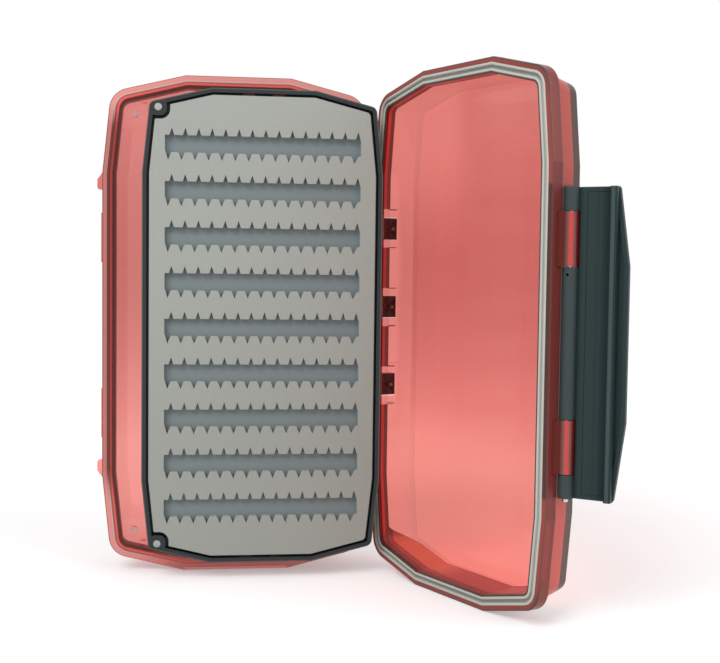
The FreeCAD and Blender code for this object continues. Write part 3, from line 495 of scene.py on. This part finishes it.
def in_lid(world_x, world_y):
    """How far out from the hinge a point of the open lid lies, and how deep behind its rim."""
    from_hinge_x = world_x - HINGE_SPOT.x
    from_hinge_y = world_y - HINGE_SPOT.y
    out = -1 * (from_hinge_x * math.cos(LID_OPEN) + from_hinge_y * math.sin(LID_OPEN))
    return out, from_hinge_x * math.sin(LID_OPEN) - from_hinge_y * math.cos(LID_OPEN)


lid_plastic, start = new_material("red_lid_plastic")
place, (world_x, world_y, up) = spot(start)
out, deep = in_lid(world_x, world_y)
inside = depth_inside(out - LID_MIDDLE, up - BOX_HEIGHT / 2)
from_middle = abs(up - BOX_HEIGHT / 2)
near_end = from_middle.ramp(*LID_END_OFF)
low_end = near_end * (1 - up.ramp(*FOOT_HALF_UP))
at_latch = 1 - from_middle.ramp(*LATCH_OFF)
latch_side = out.ramp(*LATCH_SIDE_OUT)
level = up.tones(LID_LIGHT)
hinge_wall = (1 - out.ramp(*HINGE_WALL_OUT)) * (1 - deep.ramp(*HINGE_WALL_DEEP))
top_hinge_side = (1 - out.ramp(*HINGE_SIDE_OUT)) * up.ramp(*TOP_HALF_UP)
light = level.higher_of(HINGE_WALL_LIGHT * hinge_wall).higher_of(TOP_HALF_LIGHT * top_hinge_side)

# Each block is seen through the wall in front of its pocket, whose ends are painted as short dark
# lines of shade.
from_block = abs(up - BLOCK_LEVELS[0])
for block_level in BLOCK_LEVELS[1:]:
    from_block = from_block.lower_of(abs(up - block_level))
along_wall = deep + WALL_LEAN * out
at_pocket = 1 - from_block.ramp(POCKET_HALF - TURN_SOFT, POCKET_HALF)
at_pocket = at_pocket * (1 - out.ramp(*POCKET_OUT))
before_block = 1 - from_block.ramp(BLOCK_HALF, BLOCK_HALF + TURN_SOFT)
before_block = before_block * (1 - out.ramp(*BLOCK_OUT)) * (1 - along_wall.ramp(*BLOCK_SLANT))
pocket_edge = from_block.band(POCKET_HALF - POCKET_EDGE, POCKET_HALF, POCKET_EDGE_SOFT)
pocket_edge = (pocket_edge * (1 - out.ramp(*POCKET_EDGE_OUT))
               * along_wall.band(*POCKET_EDGE_SLANT))

haze = noise(place, scale=10.0, detail=2.0)
facing = grazing(start)
clear = clear_red(start, light, LID_TINT, LID_TINT_LOW)
clear = before_block.over(clear, start.node("BsdfTransparent", Color=BLOCK_TINT))
red_share = out.tones(FACET_SHADE_SHARES) + RED_IN_HAZE * haze + RED_AT_EDGE * facing
red_share = red_share * (1 - RED_LESS_IN_LIGHT * light) * (1 - RED_LESS_AT_BLOCK * before_block)
body = glazed(start, clear, haze, red_share, facing)

near_rim = 1 - (deep - PAINT_DEPTH - MORE_AT_LOW_END * low_end).ramp(0, PAINT_SOFT)
on_inner_wall = (inside.ramp(*INNER_WALL_IN) * (1 - inside.ramp(*INNER_WALL_END))
                 * near_rim * (1 - PAINT_LESS_AT_POCKET * at_pocket))
outer_wall = 1 - inside.ramp(*OUTER_WALL_IN)
outer_edge = deep.ramp(*OUTER_EDGE_DEEP) * (1 - inside.ramp(*OUTER_EDGE_IN))
on_outer = outer_wall.higher_of(outer_edge) * (OUTER_SHARE + OUTER_MORE_AT_LATCH * latch_side)
on_rim = 1 - deep.ramp(*RIM_DEEP)
on_knuckle = out.ramp(*KNUCKLE_OUT)

end_colour = out.ramp(*END_TURN_OUT).blend(deep.tones(LOW_END_STRIPES),
                                           deep.tones(FAR_END_STRIPES))
inner_colour = low_end.blend(deep.tones(INNER_WALL_STRIPES), end_colour)
outer_colour = level.blend(deep.tones(OUTER_WALL_STRIPES), deep.tones(LIT_LOW_WALL_STRIPES))
outer_colour = at_latch.blend(outer_colour, deep.tones(LATCH_SHADOW_SIDE_STRIPES))
rim_colour = near_end.blend(inside.tones(LID_RIM_STRIPES), inside.tones(END_RIM_STRIPES))
rim_colour = (at_latch * latch_side).blend(rim_colour, inside.tones(LATCH_SHADOW_RIM_STRIPES))
knuckle_colour = (world_x - KNUCKLE_LEFT).tones(KNUCKLE_LIGHT_AND_SHADE)
# Each paint below lays its painted light and shade over the clear body.
surface = body
for share, paint in (
        (INNER_WALL_SHARE * on_inner_wall, painted(start, inner_colour, WALL_SHEEN)),
        (POCKET_EDGE_SHARE * pocket_edge, painted(start, POCKET_EDGE_SHADE, WALL_SHEEN)),
        (on_outer, painted(start, outer_colour, OUTER_SHEEN, blur=0.25)),
        (LID_RIM_SHARE * on_rim, painted(start, rim_colour, WALL_SHEEN)),
        (KNUCKLE_SHARE * on_knuckle, painted(start, knuckle_colour, OUTER_SHEEN, blur=0.2))):
    surface = share.over(surface, paint)
show(start, surface)
dress(frame["nodes"]["lid_shell"], lid_plastic)
soften(frame["nodes"]["lid_shell"], MOULD_ROUND)

# The seal in the lid: a moulded silicone ring with two rounded ridges and a valley between
# them, pushed into its seat in the rim.

SEAL_INSET = 2.0 * MM
SEAL_WIDTH = 3.4 * MM
SEAL_BACK = -2.5 * MM
SEAL_FRONT = -0.2 * MM
RIDGE = SEAL_WIDTH / 3
RIDGE_STEPS = 8
CORNER_STEPS = 8
VALLEY_SOFT = 0.15 * MM
VALLEY_SHADE = 0.25
MORE_AT_END = 0.4
SEAL_END_OFF = (84 * MM, 94 * MM)
SEAL_GREY = (0.45, 0.455, 0.41, 1)
SEAL_PALE = (0.50, 0.505, 0.465, 1)
SEAL_SHADE = (0.16, 0.155, 0.135, 1)
SHUT_TO_OPEN = (Matrix.Translation((HINGE_SPOT.x, HINGE_SPOT.y, 0))
                @ Matrix.Rotation(LID_OPEN, 4, "Z"))


def outline(inset, radius):
    """The box's outline drawn in by a distance, as points about its middle, anticlockwise."""
    wide = BOX_WIDTH / 2 - inset
    tall = BOX_HEIGHT / 2 - inset
    flat = TOP_FLAT_HALF - inset * math.tan(SHOULDER_SLOPE / 2)
    cheek = CHEEK_HALF - inset * math.tan(CHEEK_SLOPE / 2)
    slope = math.tan(SHOULDER_SLOPE)
    lean = math.tan(CHEEK_SLOPE)
    tip_x = (wide - (tall + flat * slope - cheek) * lean) / (1 - slope * lean)
    tip_z = tall - (tip_x - flat) * slope
    start_angle = CHEEK_SLOPE
    end_angle = math.pi / 2 - SHOULDER_SLOPE
    reach = radius * math.tan((end_angle - start_angle) / 2)
    on_cheek = Vector((tip_x + reach * math.sin(CHEEK_SLOPE),
                       tip_z - reach * math.cos(CHEEK_SLOPE)))
    centre = on_cheek - Vector((math.cos(start_angle), math.sin(start_angle))) * radius
    quarter = [Vector((wide, cheek))]
    for step in range(CORNER_STEPS + 1):
        angle = start_angle + (end_angle - start_angle) * step / CORNER_STEPS
        quarter.append(centre + Vector((math.cos(angle), math.sin(angle))) * radius)
    quarter.append(Vector((flat, tall)))
    loop = []
    for side, rise, backwards in ((1, 1, False), (-1, 1, True), (-1, -1, False), (1, -1, True)):
        corners = reversed(quarter) if backwards else quarter
        loop += [Vector((side * p.x, rise * p.y)) for p in corners]
    return loop


def new_piece(name, mesh, material, smooth=True):
    """Puts a mesh of one material into the scene."""
    for face in mesh.polygons:
        face.use_smooth = smooth
    mesh.materials.clear()
    mesh.materials.append(material)
    piece = bpy.data.objects.new(name, mesh)
    bpy.context.scene.collection.objects.link(piece)
    return piece


def swept_ring(name, profile):
    """A closed ring: each corner of the profile is an inset and a depth, swept round the box."""
    loops = [outline(inset, CORNER_RADIUS - inset) for inset, _ in profile]
    count = len(loops[0])
    spots = []
    for loop, (_, depth) in zip(loops, profile):
        spots += [(p.x, depth, p.y) for p in loop]
    faces = []
    for ring in range(len(profile)):
        here = ring * count
        after = (ring + 1) % len(profile) * count
        for i in range(count):
            j = (i + 1) % count
            faces.append((here + i, here + j, after + j, after + i))
    mesh = bpy.data.meshes.new(name)
    mesh.from_pydata(spots, [], faces)
    mesh.validate()
    shape = bmesh.new()
    shape.from_mesh(mesh)
    bmesh.ops.recalc_face_normals(shape, faces=shape.faces)
    shape.to_mesh(mesh)
    shape.free()
    return mesh


def bump(height, strength, distance=0.1 * MM):
    """A fine relief that stands out where the height is high."""
    return height.node("Bump", Strength=strength, Distance=distance, Height=height)


seal_rubber, start = new_material("grey_seal_rubber")
place, (world_x, world_y, up) = spot(start)
out, _ = in_lid(world_x, world_y)
inside = depth_inside(out - LID_MIDDLE, up - BOX_HEIGHT / 2)
valley = inside.band(SEAL_INSET + RIDGE, SEAL_INSET + 2 * RIDGE, VALLEY_SOFT)
seal_end = abs(up - BOX_HEIGHT / 2).ramp(*SEAL_END_OFF)
grain = noise(place, scale=2500.0, detail=2.0)
patches = noise(place, scale=60.0, detail=2.0)
# The valley between the ridges is painted in shade, darker towards the ends.
seal_grey = (valley * (VALLEY_SHADE + MORE_AT_END * seal_end)).blend(
    patches.blend(SEAL_GREY, SEAL_PALE), SEAL_SHADE)
show(start, start.node("BsdfPrincipled", Base_Color=seal_grey, Roughness=0.45 + 0.1 * grain,
                       Normal=bump(grain, 0.15)))
seal_profile = [(SEAL_INSET, SEAL_BACK)]
for ridge_middle in (SEAL_INSET + RIDGE / 2, SEAL_INSET + SEAL_WIDTH - RIDGE / 2):
    for step in range(RIDGE_STEPS + 1):
        angle = math.pi * (1 - step / RIDGE_STEPS)
        seal_profile.append((ridge_middle + RIDGE / 2 * math.cos(angle),
                             SEAL_FRONT - RIDGE / 2 + RIDGE / 2 * math.sin(angle)))
    if ridge_middle < SEAL_INSET + SEAL_WIDTH / 2:
        seal_profile.append((ridge_middle + RIDGE / 2, SEAL_FRONT - RIDGE))
        seal_profile.append((ridge_middle + RIDGE * 1.5, SEAL_FRONT - RIDGE))
seal_profile.append((SEAL_INSET + SEAL_WIDTH, SEAL_BACK))
seal_mesh = swept_ring("lid_seal", seal_profile)
seal_mesh.transform(Matrix.Translation((-LID_MIDDLE, 0, BOX_HEIGHT / 2)))
seal_mesh.transform(SHUT_TO_OPEN)
seal = new_piece("lid_seal", seal_mesh, seal_rubber)
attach(seal, "lid")
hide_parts("lid_gasket")

# The hinge: three dark moulded blocks, each held to the lid's wall by a steel rivet and turning
# on a steel pin in the base's knuckles. The latch's pin is turned from the same steel.

BLOCK_DARK = (0.024, 0.016, 0.016, 1)
BLOCK_WORN = (0.05, 0.03, 0.032, 1)
BLOCK_ROUND = 0.3 * MM
STEEL_GREY = (0.56, 0.56, 0.55, 1)
PIN_ROUND = 0.2 * MM

block_plastic, start = new_material("hinge_block_plastic")
grain = noise(object_place(start), scale=1800.0, detail=3.0)
show(start, start.node("BsdfPrincipled", Base_Color=grain.blend(BLOCK_DARK, BLOCK_WORN),
                       Roughness=0.35 + 0.15 * grain, Normal=bump(grain, 0.2)))
steel, start = new_material("turned_steel")
rings = noise(object_place(start), scale=1200.0, detail=2.0)
show(start, start.node("BsdfPrincipled", Base_Color=STEEL_GREY, Metallic=1.0,
                       Roughness=0.22 + 0.2 * rings))
for number in (1, 2, 3):
    block = frame["nodes"][f"hinge_block_{number}"]
    dress(block, block_plastic)
    soften(block, BLOCK_ROUND)
    for name in ("hinge_pin", "hinge_rivet"):
        dress(frame["nodes"][f"{name}_{number}"], steel)
dress(frame["nodes"]["latch_pin"], steel)
soften(frame["nodes"]["latch_pin"], PIN_ROUND)

# The latch: a long plate moulded in dark slate plastic, with a barrel on its pin, a hook bead
# and a finger tab with a scooped face.

LATCH_AXIS = Vector(joint("latch_hinge")["pos_m"])
PLATE_WAY = LID_OPEN - math.radians(joint("latch_hinge")["range_deg"][0])
LATCH_LOW, LATCH_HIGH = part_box("latch")
LATCH_LENGTH = LATCH_HIGH.z - LATCH_LOW.z
LATCH_END = (LATCH_LENGTH / 2 - 0.55 * MM, LATCH_LENGTH / 2 - 0.35 * MM)
LATCH_ROUND = 0.35 * MM
END_HIGHLIGHT_SHARE = 0.6
PATCH_SHARE = 0.2

# The latch lies in plainer light than the clear walls, so its paints are written for a white of 1.
LATCH_WHITE = 1.0
BARREL_TONE = tone(59, 68, 68, LATCH_WHITE)
BARREL_EDGE_SHADE = tone(27, 43, 43, LATCH_WHITE)
PLATE_TONE = tone(40, 54, 54, LATCH_WHITE)
PLATE_MIDDLE_TONE = tone(34, 48, 48, LATCH_WHITE)
HOOK_FOOT_SHADOW = tone(12, 28, 33, LATCH_WHITE)
LIT_BEAD_TONE = tone(62, 75, 75, LATCH_WHITE)
BEAD_SIDE_SHADE = tone(24, 40, 40, LATCH_WHITE)
TAB_TONE = tone(38, 52, 53, LATCH_WHITE)
# The slate's painted light and shade: a lit barrel with shaded edges, the hook's foot in painted
# shadow, the lit top of the bead and its shaded side, by their distance in mm from the pin's axis
# along the plate.
LATCH_TONES = [(place * MM, shown) for place, shown in (
    (2.6, BARREL_TONE), (2.9, BARREL_EDGE_SHADE), (4.4, PLATE_TONE), (8.2, PLATE_TONE),
    (9.8, PLATE_MIDDLE_TONE), (10.1, PLATE_TONE), (10.6, PLATE_TONE), (10.8, PLATE_MIDDLE_TONE),
    (13.2, HOOK_FOOT_SHADOW), (14.7, HOOK_FOOT_SHADOW), (15.0, LIT_BEAD_TONE), (16.1, LIT_BEAD_TONE),
    (16.3, BEAD_SIDE_SHADE), (17.2, TAB_TONE), (20.0, TAB_TONE))]

latch_plastic, start = new_material("slate_latch_plastic")
place, (world_x, world_y, up) = spot(start)
reach = ((world_y - LATCH_AXIS.y) * math.cos(PLATE_WAY)
         - (world_x - LATCH_AXIS.x) * math.sin(PLATE_WAY))
at_end = abs(up - (LATCH_LOW.z + LATCH_HIGH.z) / 2).ramp(*LATCH_END)
grain = noise(place, scale=2200.0, detail=3.0)
patches = noise(place, scale=45.0, detail=3.0)
# The latch's top and bottom edges are painted with the lit bead's tone as a painted highlight.
slate = (END_HIGHLIGHT_SHARE * at_end).blend(reach.tones(LATCH_TONES), LIT_BEAD_TONE)
slate = (PATCH_SHARE * patches).blend(slate, TAB_TONE)
show(start, start.node("BsdfPrincipled", Base_Color=slate, Roughness=0.34 + 0.12 * grain,
                       Normal=bump(grain, 0.25), Specular_IOR_Level=0.14))
dress(frame["nodes"]["latch"], latch_plastic)
soften(frame["nodes"]["latch"], LATCH_ROUND)

# The swing leaf's frame: a dark satin rim and web in one moulding, with nickel-plated magnets
# pressed into two bosses, and the two arms and pins that carry it.

LEAF_DARK = (0.012, 0.017, 0.018, 1)
LEAF_PALE = (0.018, 0.024, 0.025, 1)
LEAF_EDGE_HIGHLIGHT = (0.10, 0.11, 0.11, 1)
LEAF_EDGE_HIGHLIGHT_SHARE = 0.6
LEAF_ROUND = 0.3 * MM
NICKEL_DARK = (0.22, 0.225, 0.205, 1)
NICKEL_PALE = (0.46, 0.465, 0.43, 1)
PINK_DARK = (1.0, 0.74, 0.72, 1)
PINK_PALE = (1.0, 0.84, 0.82, 1)
MAGNET_ROUND = 0.2 * MM
LEAF_LOW, LEAF_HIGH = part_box("leaf_frame")
FOAM_LOW, FOAM_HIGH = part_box("front_foam")
LEAF_MIDDLE = (FOAM_LOW.x + FOAM_HIGH.x) / 2
LEAF_INSET = (BOX_HEIGHT - (LEAF_HIGH.z - LEAF_LOW.z)) / 2
LEAF_EDGE_IN = (LEAF_INSET + 0.35 * MM, LEAF_INSET + 0.5 * MM)

leaf_plastic, start = new_material("dark_leaf_plastic")
place, (across, _, up) = spot(start)
grain = noise(place, scale=2200.0, detail=3.0)
patches = noise(place, scale=40.0, detail=2.0)
# A painted highlight runs round the outer edge of the leaf's rim.
at_edge = 1 - depth_inside(across - LEAF_MIDDLE, up - BOX_HEIGHT / 2).ramp(*LEAF_EDGE_IN)
leaf_grey = (LEAF_EDGE_HIGHLIGHT_SHARE * at_edge).blend(patches.blend(LEAF_DARK, LEAF_PALE), LEAF_EDGE_HIGHLIGHT)
show(start, start.node("BsdfPrincipled", Base_Color=leaf_grey, Roughness=0.32 + 0.12 * grain,
                       Normal=bump(grain, 0.15), Specular_IOR_Level=0.32))
for name in ("leaf_frame", "leaf_arm_top", "leaf_arm_bottom"):
    dress(frame["nodes"][name], leaf_plastic)
    soften(frame["nodes"][name], LEAF_ROUND)

# The leaf's magnets are bare nickel. The base's are painted pale pink, a painted reflection of the
# red light from the clear walls round them.
magnet_metal, start = new_material("nickel_magnet")
scuffs = noise(object_place(start), scale=900.0, detail=4.0)
show(start, start.node("BsdfPrincipled", Base_Color=scuffs.blend(NICKEL_DARK, NICKEL_PALE),
                       Metallic=0.85, Roughness=0.35 + 0.2 * scuffs))
pink_lit_paint, start = new_material("pink_lit_magnet")
scuffs = noise(object_place(start), scale=900.0, detail=4.0)
show(start, start.node("BsdfPrincipled", Base_Color=scuffs.blend(PINK_DARK, PINK_PALE),
                       Metallic=0.0, Roughness=0.4 + 0.2 * scuffs))
for name, node in frame["nodes"].items():
    if "magnet" in name:
        dress(node, pink_lit_paint if name.startswith("base") else magnet_metal)
        soften(node, MAGNET_ROUND)
    elif name.startswith("arm_"):
        dress(node, steel)

# The foam on both sides of the leaf: a die-cut sheet with rows of notched slots, glued to a
# plain darker sheet that shows as the floor of the slots.

FOAM_INSET = (BOX_WIDTH - (FOAM_HIGH.x - FOAM_LOW.x)) / 2
FOAM_CORNER = 2.0 * MM
FOAM_EDGE = 0.18 * MM
SLOT_ROWS = 9
SLOT_PITCH = 18.35 * MM
SLOT_HEIGHT = 6.8 * MM
NOTCHES = 15
NOTCH_PITCH = 5.35 * MM
TOOTH_TOP = 2.9 * MM
TOOTH_DEPTH = 3.0 * MM
VEE_MOUTH = 1.9 * MM
VEE_DEPTH = 2.8 * MM
SLOT_SIDE = 1.2 * MM
SLOT_LENGTH = SLOT_SIDE + (NOTCHES - 1) * NOTCH_PITCH + NOTCH_PITCH / 2
SLOT_LEVELS = [BOX_HEIGHT / 2 + (k - (SLOT_ROWS - 1) / 2) * SLOT_PITCH for k in range(SLOT_ROWS)]
SLOT_END_ROUND = 0.4 * MM
SLOT_CORNER_ROUND = 0.2 * MM
TOOTH_ROUND = 0.55 * MM
VEE_ROUND = 0.3 * MM
RELIEF_REACH = 4.7 * MM
RELIEF_ROUND = 3.8 * MM
RELIEF_STEP = 0.25 * MM
MERGE_FOAM = 0.0001 * MM
FOAM_GREY = (0.295, 0.312, 0.285, 1)
FOAM_PALE = (0.335, 0.35, 0.325, 1)
FOAM_SHADE = (0.265, 0.28, 0.252, 1)
SHADE_SHARE = 0.6
SHADE_UP = (30 * MM, 150 * MM)
BACKING_GREY = (0.165, 0.20, 0.205, 1)
BACKING_PALE = (0.195, 0.23, 0.24, 1)


def rounded(corners, arc_steps=4):
    """Rounds the corners of a loop. Each corner is a point and a radius, zero for a sharp one."""
    loop = []
    count = len(corners)
    for i, (corner, radius) in enumerate(corners):
        if radius == 0:
            loop.append(Vector(corner))
            continue
        corner = Vector(corner)
        back = (Vector(corners[i - 1][0]) - corner).normalized()
        on = (Vector(corners[(i + 1) % count][0]) - corner).normalized()
        half = back.angle(on) / 2
        reach = radius / math.tan(half)
        centre = corner + (back + on).normalized() * radius / math.sin(half)
        first = corner + back * reach - centre
        last = corner + on * reach - centre
        turn = first.angle_signed(last)
        for step in range(arc_steps + 1):
            angle = -turn * step / arc_steps
            loop.append(centre + Vector((first.x * math.cos(angle) - first.y * math.sin(angle),
                                         first.x * math.sin(angle) + first.y * math.cos(angle))))
    return loop


def slot_loop(level):
    """One slot of the foam: teeth with rounded tops below, and narrow notches above."""
    left = LEAF_MIDDLE - SLOT_LENGTH / 2
    right = LEAF_MIDDLE + SLOT_LENGTH / 2
    low = level - SLOT_HEIGHT / 2
    high = level + SLOT_HEIGHT / 2
    valley = (NOTCH_PITCH - TOOTH_TOP) / 2
    corners = [((left, low + TOOTH_DEPTH / 3), SLOT_END_ROUND)]
    for count in range(NOTCHES):
        tip = left + SLOT_SIDE + count * NOTCH_PITCH
        corners.append(((tip, low - TOOTH_DEPTH), 0.0))
        if count < NOTCHES - 1:
            corners.append(((tip + valley, low), TOOTH_ROUND))
            corners.append(((tip + NOTCH_PITCH - valley, low), TOOTH_ROUND))
    corners.append(((right - NOTCH_PITCH / 2 + valley + SLOT_SIDE / 2, low), SLOT_END_ROUND))
    corners.append(((right, low), SLOT_CORNER_ROUND))
    corners.append(((right, high - VEE_DEPTH / 3), SLOT_END_ROUND))
    for count in range(NOTCHES):
        tip = right - SLOT_SIDE - count * NOTCH_PITCH
        if count:
            corners.append(((tip + VEE_MOUTH / 2, high), VEE_ROUND))
        corners.append(((tip, high + VEE_DEPTH), 0.0))
        corners.append(((tip - VEE_MOUTH / 2, high), VEE_ROUND))
    corners.append(((left, high), SLOT_CORNER_ROUND))
    return rounded(corners)


def bitten(loop, middle, reach, radius):
    """A loop with a rounded square taken out of it where the square crosses its edge."""
    square = rounded([((middle.x + a * reach, middle.y + b * reach), radius)
                      for a, b in ((-1, -1), (1, -1), (1, 1), (-1, 1))], arc_steps=6)

    def in_square(p):
        return abs(p.x - middle.x) < reach and abs(p.y - middle.y) < reach

    def in_loop(p):
        inside = False
        for a, b in zip(loop, loop[1:] + loop[:1]):
            if (a.y > p.y) != (b.y > p.y):
                if p.x < a.x + (p.y - a.y) / (b.y - a.y) * (b.x - a.x):
                    inside = not inside
        return inside

    fine = []
    for a, b in zip(loop, loop[1:] + loop[:1]):
        steps = max(1, int((b - a).length / RELIEF_STEP))
        fine += [a.lerp(b, k / steps) for k in range(steps)]
    count = len(fine)
    leave = next(i for i in range(count) if not in_square(fine[i]) and in_square(fine[i - 1]))
    kept = [fine[(leave + k) % count] for k in range(count)]
    kept = [p for p in kept if not in_square(p)]
    inner = [p for p in square if in_loop(p)]
    start_at = min(range(len(inner)), key=lambda k: (inner[k] - kept[-1]).length)
    inner = inner[start_at:] + inner[:start_at]
    if (inner[-1] - kept[0]).length > (inner[1] - kept[0]).length:
        inner = [inner[0]] + inner[:0:-1]
    return kept + inner


def cut_sheet(name, loops, front, back):
    """A flat sheet square to Y between two depths, with rounded edges: outer loop, then holes."""
    drawing = bpy.data.curves.new(name, "CURVE")
    drawing.dimensions = "2D"
    drawing.fill_mode = "BOTH"
    drawing.extrude = abs(back - front) / 2 - FOAM_EDGE
    drawing.bevel_depth = FOAM_EDGE
    drawing.bevel_resolution = 2
    drawing.offset = -FOAM_EDGE
    for loop in loops:
        line = drawing.splines.new("POLY")
        line.points.add(len(loop) - 1)
        for point, at in zip(line.points, loop):
            point.co = (at.x, at.y, 0, 1)
        line.use_cyclic_u = True
    holder = bpy.data.objects.new(name, drawing)
    bpy.context.scene.collection.objects.link(holder)
    graph = bpy.context.evaluated_depsgraph_get()
    mesh = bpy.data.meshes.new_from_object(holder.evaluated_get(graph))
    bpy.data.objects.remove(holder)
    mesh.transform(Matrix.Rotation(math.pi / 2, 4, "X"))
    mesh.transform(Matrix.Translation((0, (front + back) / 2, 0)))
    shape = bmesh.new()
    shape.from_mesh(mesh)
    bmesh.ops.remove_doubles(shape, verts=shape.verts, dist=MERGE_FOAM)
    bmesh.ops.recalc_face_normals(shape, faces=shape.faces)
    shape.to_mesh(mesh)
    shape.free()
    return mesh


def lay_sheet(name, solid, loops, material):
    """Cuts a sheet as thick as its solid and lays it on the leaf in the solid's place."""
    low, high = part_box(solid)
    piece = new_piece(name, cut_sheet(name, loops, low.y, high.y), material, smooth=False)
    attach(piece, "leaf")
    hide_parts(solid)


foam, start = new_material("grey_foam")
place, (_, _, up) = spot(start)
cells = start.node("TexVoronoi", Vector=place, Scale=3500.0)
grain = noise(place, scale=1500.0, detail=4.0)
patches = noise(place, scale=25.0, detail=2.0)
foam_grey = (0.5 * patches + 0.5 * grain).blend(FOAM_GREY, FOAM_PALE)
# The foam is painted in shade towards the bottom.
foam_grey = (SHADE_SHARE * (1 - up.ramp(*SHADE_UP))).blend(foam_grey, FOAM_SHADE)
show(start, start.node("BsdfPrincipled", Base_Color=foam_grey, Roughness=0.85,
                       Normal=bump(cells + 0.5 * grain, 0.35, 0.12 * MM)))
backing, start = new_material("slate_backing_foam")
grain = noise(object_place(start), scale=1800.0, detail=4.0)
show(start, start.node("BsdfPrincipled", Base_Color=grain.blend(BACKING_GREY, BACKING_PALE),
                       Roughness=0.8, Normal=bump(grain, 0.3)))

middle = Vector((LEAF_MIDDLE, BOX_HEIGHT / 2))
sheet_loop = [p + middle for p in outline(FOAM_INSET, FOAM_CORNER)]
for end in ("top", "bottom"):
    low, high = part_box(f"leaf_magnet_front_{end}")
    magnet = (low + high) / 2
    sheet_loop = bitten(sheet_loop, Vector((magnet.x, magnet.z)), RELIEF_REACH, RELIEF_ROUND)
cut_loops = [sheet_loop] + [slot_loop(level) for level in SLOT_LEVELS]
for side in ("front", "back"):
    lay_sheet(f"{side}_slotted_foam", f"{side}_foam", cut_loops, foam)
    lay_sheet(f"{side}_backing_foam", f"{side}_backing", [sheet_loop], backing)

# The studio: a white floor that keeps a soft shadow, white all round, and two broad soft lamps.
# The camera stands where the photograph was taken from, with the same view angle and tilt.

FLOOR_REACH = 4.0
FLOOR_PAINT = grey(0.92)
FLOOR_GLOW = 2.6
GLOW_NEAR = 0.12
GLOW_MORE_FAR = 0.112
GLOW_GROWS = (0.15, 0.7)
BACKDROP = 1.0
ROOM_LIGHT = 0.55
OBJECT_MIDDLE = Vector((0.04, -0.03, 0.10))
CAMERA_SPOT = Vector((-13.304, -510.064, 129.739)) * MM
CAMERA_YAW = math.radians(7.299)
CAMERA_PITCH = math.radians(3.232)
CAMERA_ROLL = math.radians(0.7226)
PHOTO_WIDTH = 720
FOCAL_PIXELS = 1210.12
SENSOR = 36.0
NEAREST = 0.01
FARTHEST = 50


def in_view(start):
    """1 for what the camera sees, straight or by gloss or through clear plastic, and 0 else."""
    sockets = start.node("LightPath").socket.node.outputs
    camera, gloss, through = [Wire(start.tree, sockets[f"Is {kind} Ray"])
                              for kind in ("Camera", "Glossy", "Transmission")]
    return camera.higher_of(gloss).higher_of(through)


def soft_lamp(name, place, size, power):
    """A square lamp, its size in metres and its power in watts, turned to the box."""
    lamp = bpy.data.lights.new(name, "AREA")
    lamp.size = size
    lamp.energy = power
    holder = bpy.data.objects.new(name, lamp)
    holder.location = place
    holder.rotation_euler = (OBJECT_MIDDLE - Vector(place)).to_track_quat("-Z", "Y").to_euler()
    bpy.context.scene.collection.objects.link(holder)


floor_paint, start = new_material("studio_floor")
_, (across, deep, _) = spot(start)
distance = (across * across + deep * deep).root()
glow = start.node("Emission", Color=grey(1.0), Strength=FLOOR_GLOW)
shaded = start.node("BsdfDiffuse", Color=FLOOR_PAINT)
glow_share = GLOW_NEAR + GLOW_MORE_FAR * distance.ramp(*GLOW_GROWS)
show(start, (in_view(start) * glow_share).over(shaded, glow))
mesh = bpy.data.meshes.new("studio_floor")
mesh.from_pydata([(FLOOR_REACH * x, FLOOR_REACH * y, 0)
                  for x, y in ((-1, -1), (1, -1), (1, 1), (-1, 1))], [], [(0, 1, 2, 3)])
floor = new_piece("studio_floor", mesh, floor_paint, smooth=False)

world = bpy.data.worlds.new("studio")
world.use_nodes = True
bpy.context.scene.world = world
world.node_tree.nodes.clear()
start = Wire(world.node_tree)
backdrop = start.node("Background", Color=grey(1.0), Strength=BACKDROP)
fill = start.node("Background", Color=grey(1.0), Strength=ROOM_LIGHT)
output = start.tree.nodes.new("ShaderNodeOutputWorld")
start.tree.links.new(in_view(start).over(fill, backdrop).socket, output.inputs["Surface"])

soft_lamp("key_lamp", (-0.7, -1.1, 1.2), size=0.9, power=16.0)
soft_lamp("side_lamp", (1.0, -0.9, 0.7), size=0.8, power=6.0)

camera = bpy.data.cameras.new("camera")
camera.sensor_width = SENSOR
camera.lens = FOCAL_PIXELS * SENSOR / PHOTO_WIDTH
camera.clip_start = NEAREST
camera.clip_end = FARTHEST
holder = bpy.data.objects.new("camera", camera)
forward = Vector((math.sin(CAMERA_YAW) * math.cos(CAMERA_PITCH),
                  math.cos(CAMERA_YAW) * math.cos(CAMERA_PITCH), -math.sin(CAMERA_PITCH)))
level_right = Vector((math.cos(CAMERA_YAW), -math.sin(CAMERA_YAW), 0))
level_up = level_right.cross(forward)
right = math.cos(CAMERA_ROLL) * level_right + math.sin(CAMERA_ROLL) * level_up
up = math.cos(CAMERA_ROLL) * level_up - math.sin(CAMERA_ROLL) * level_right
turn = Matrix((right, up, -forward)).transposed().to_4x4()
holder.matrix_world = Matrix.Translation(CAMERA_SPOT) @ turn
bpy.context.scene.collection.objects.link(holder)
bpy.context.scene.camera = holder
bpy.context.scene.view_settings.view_transform = "Standard"
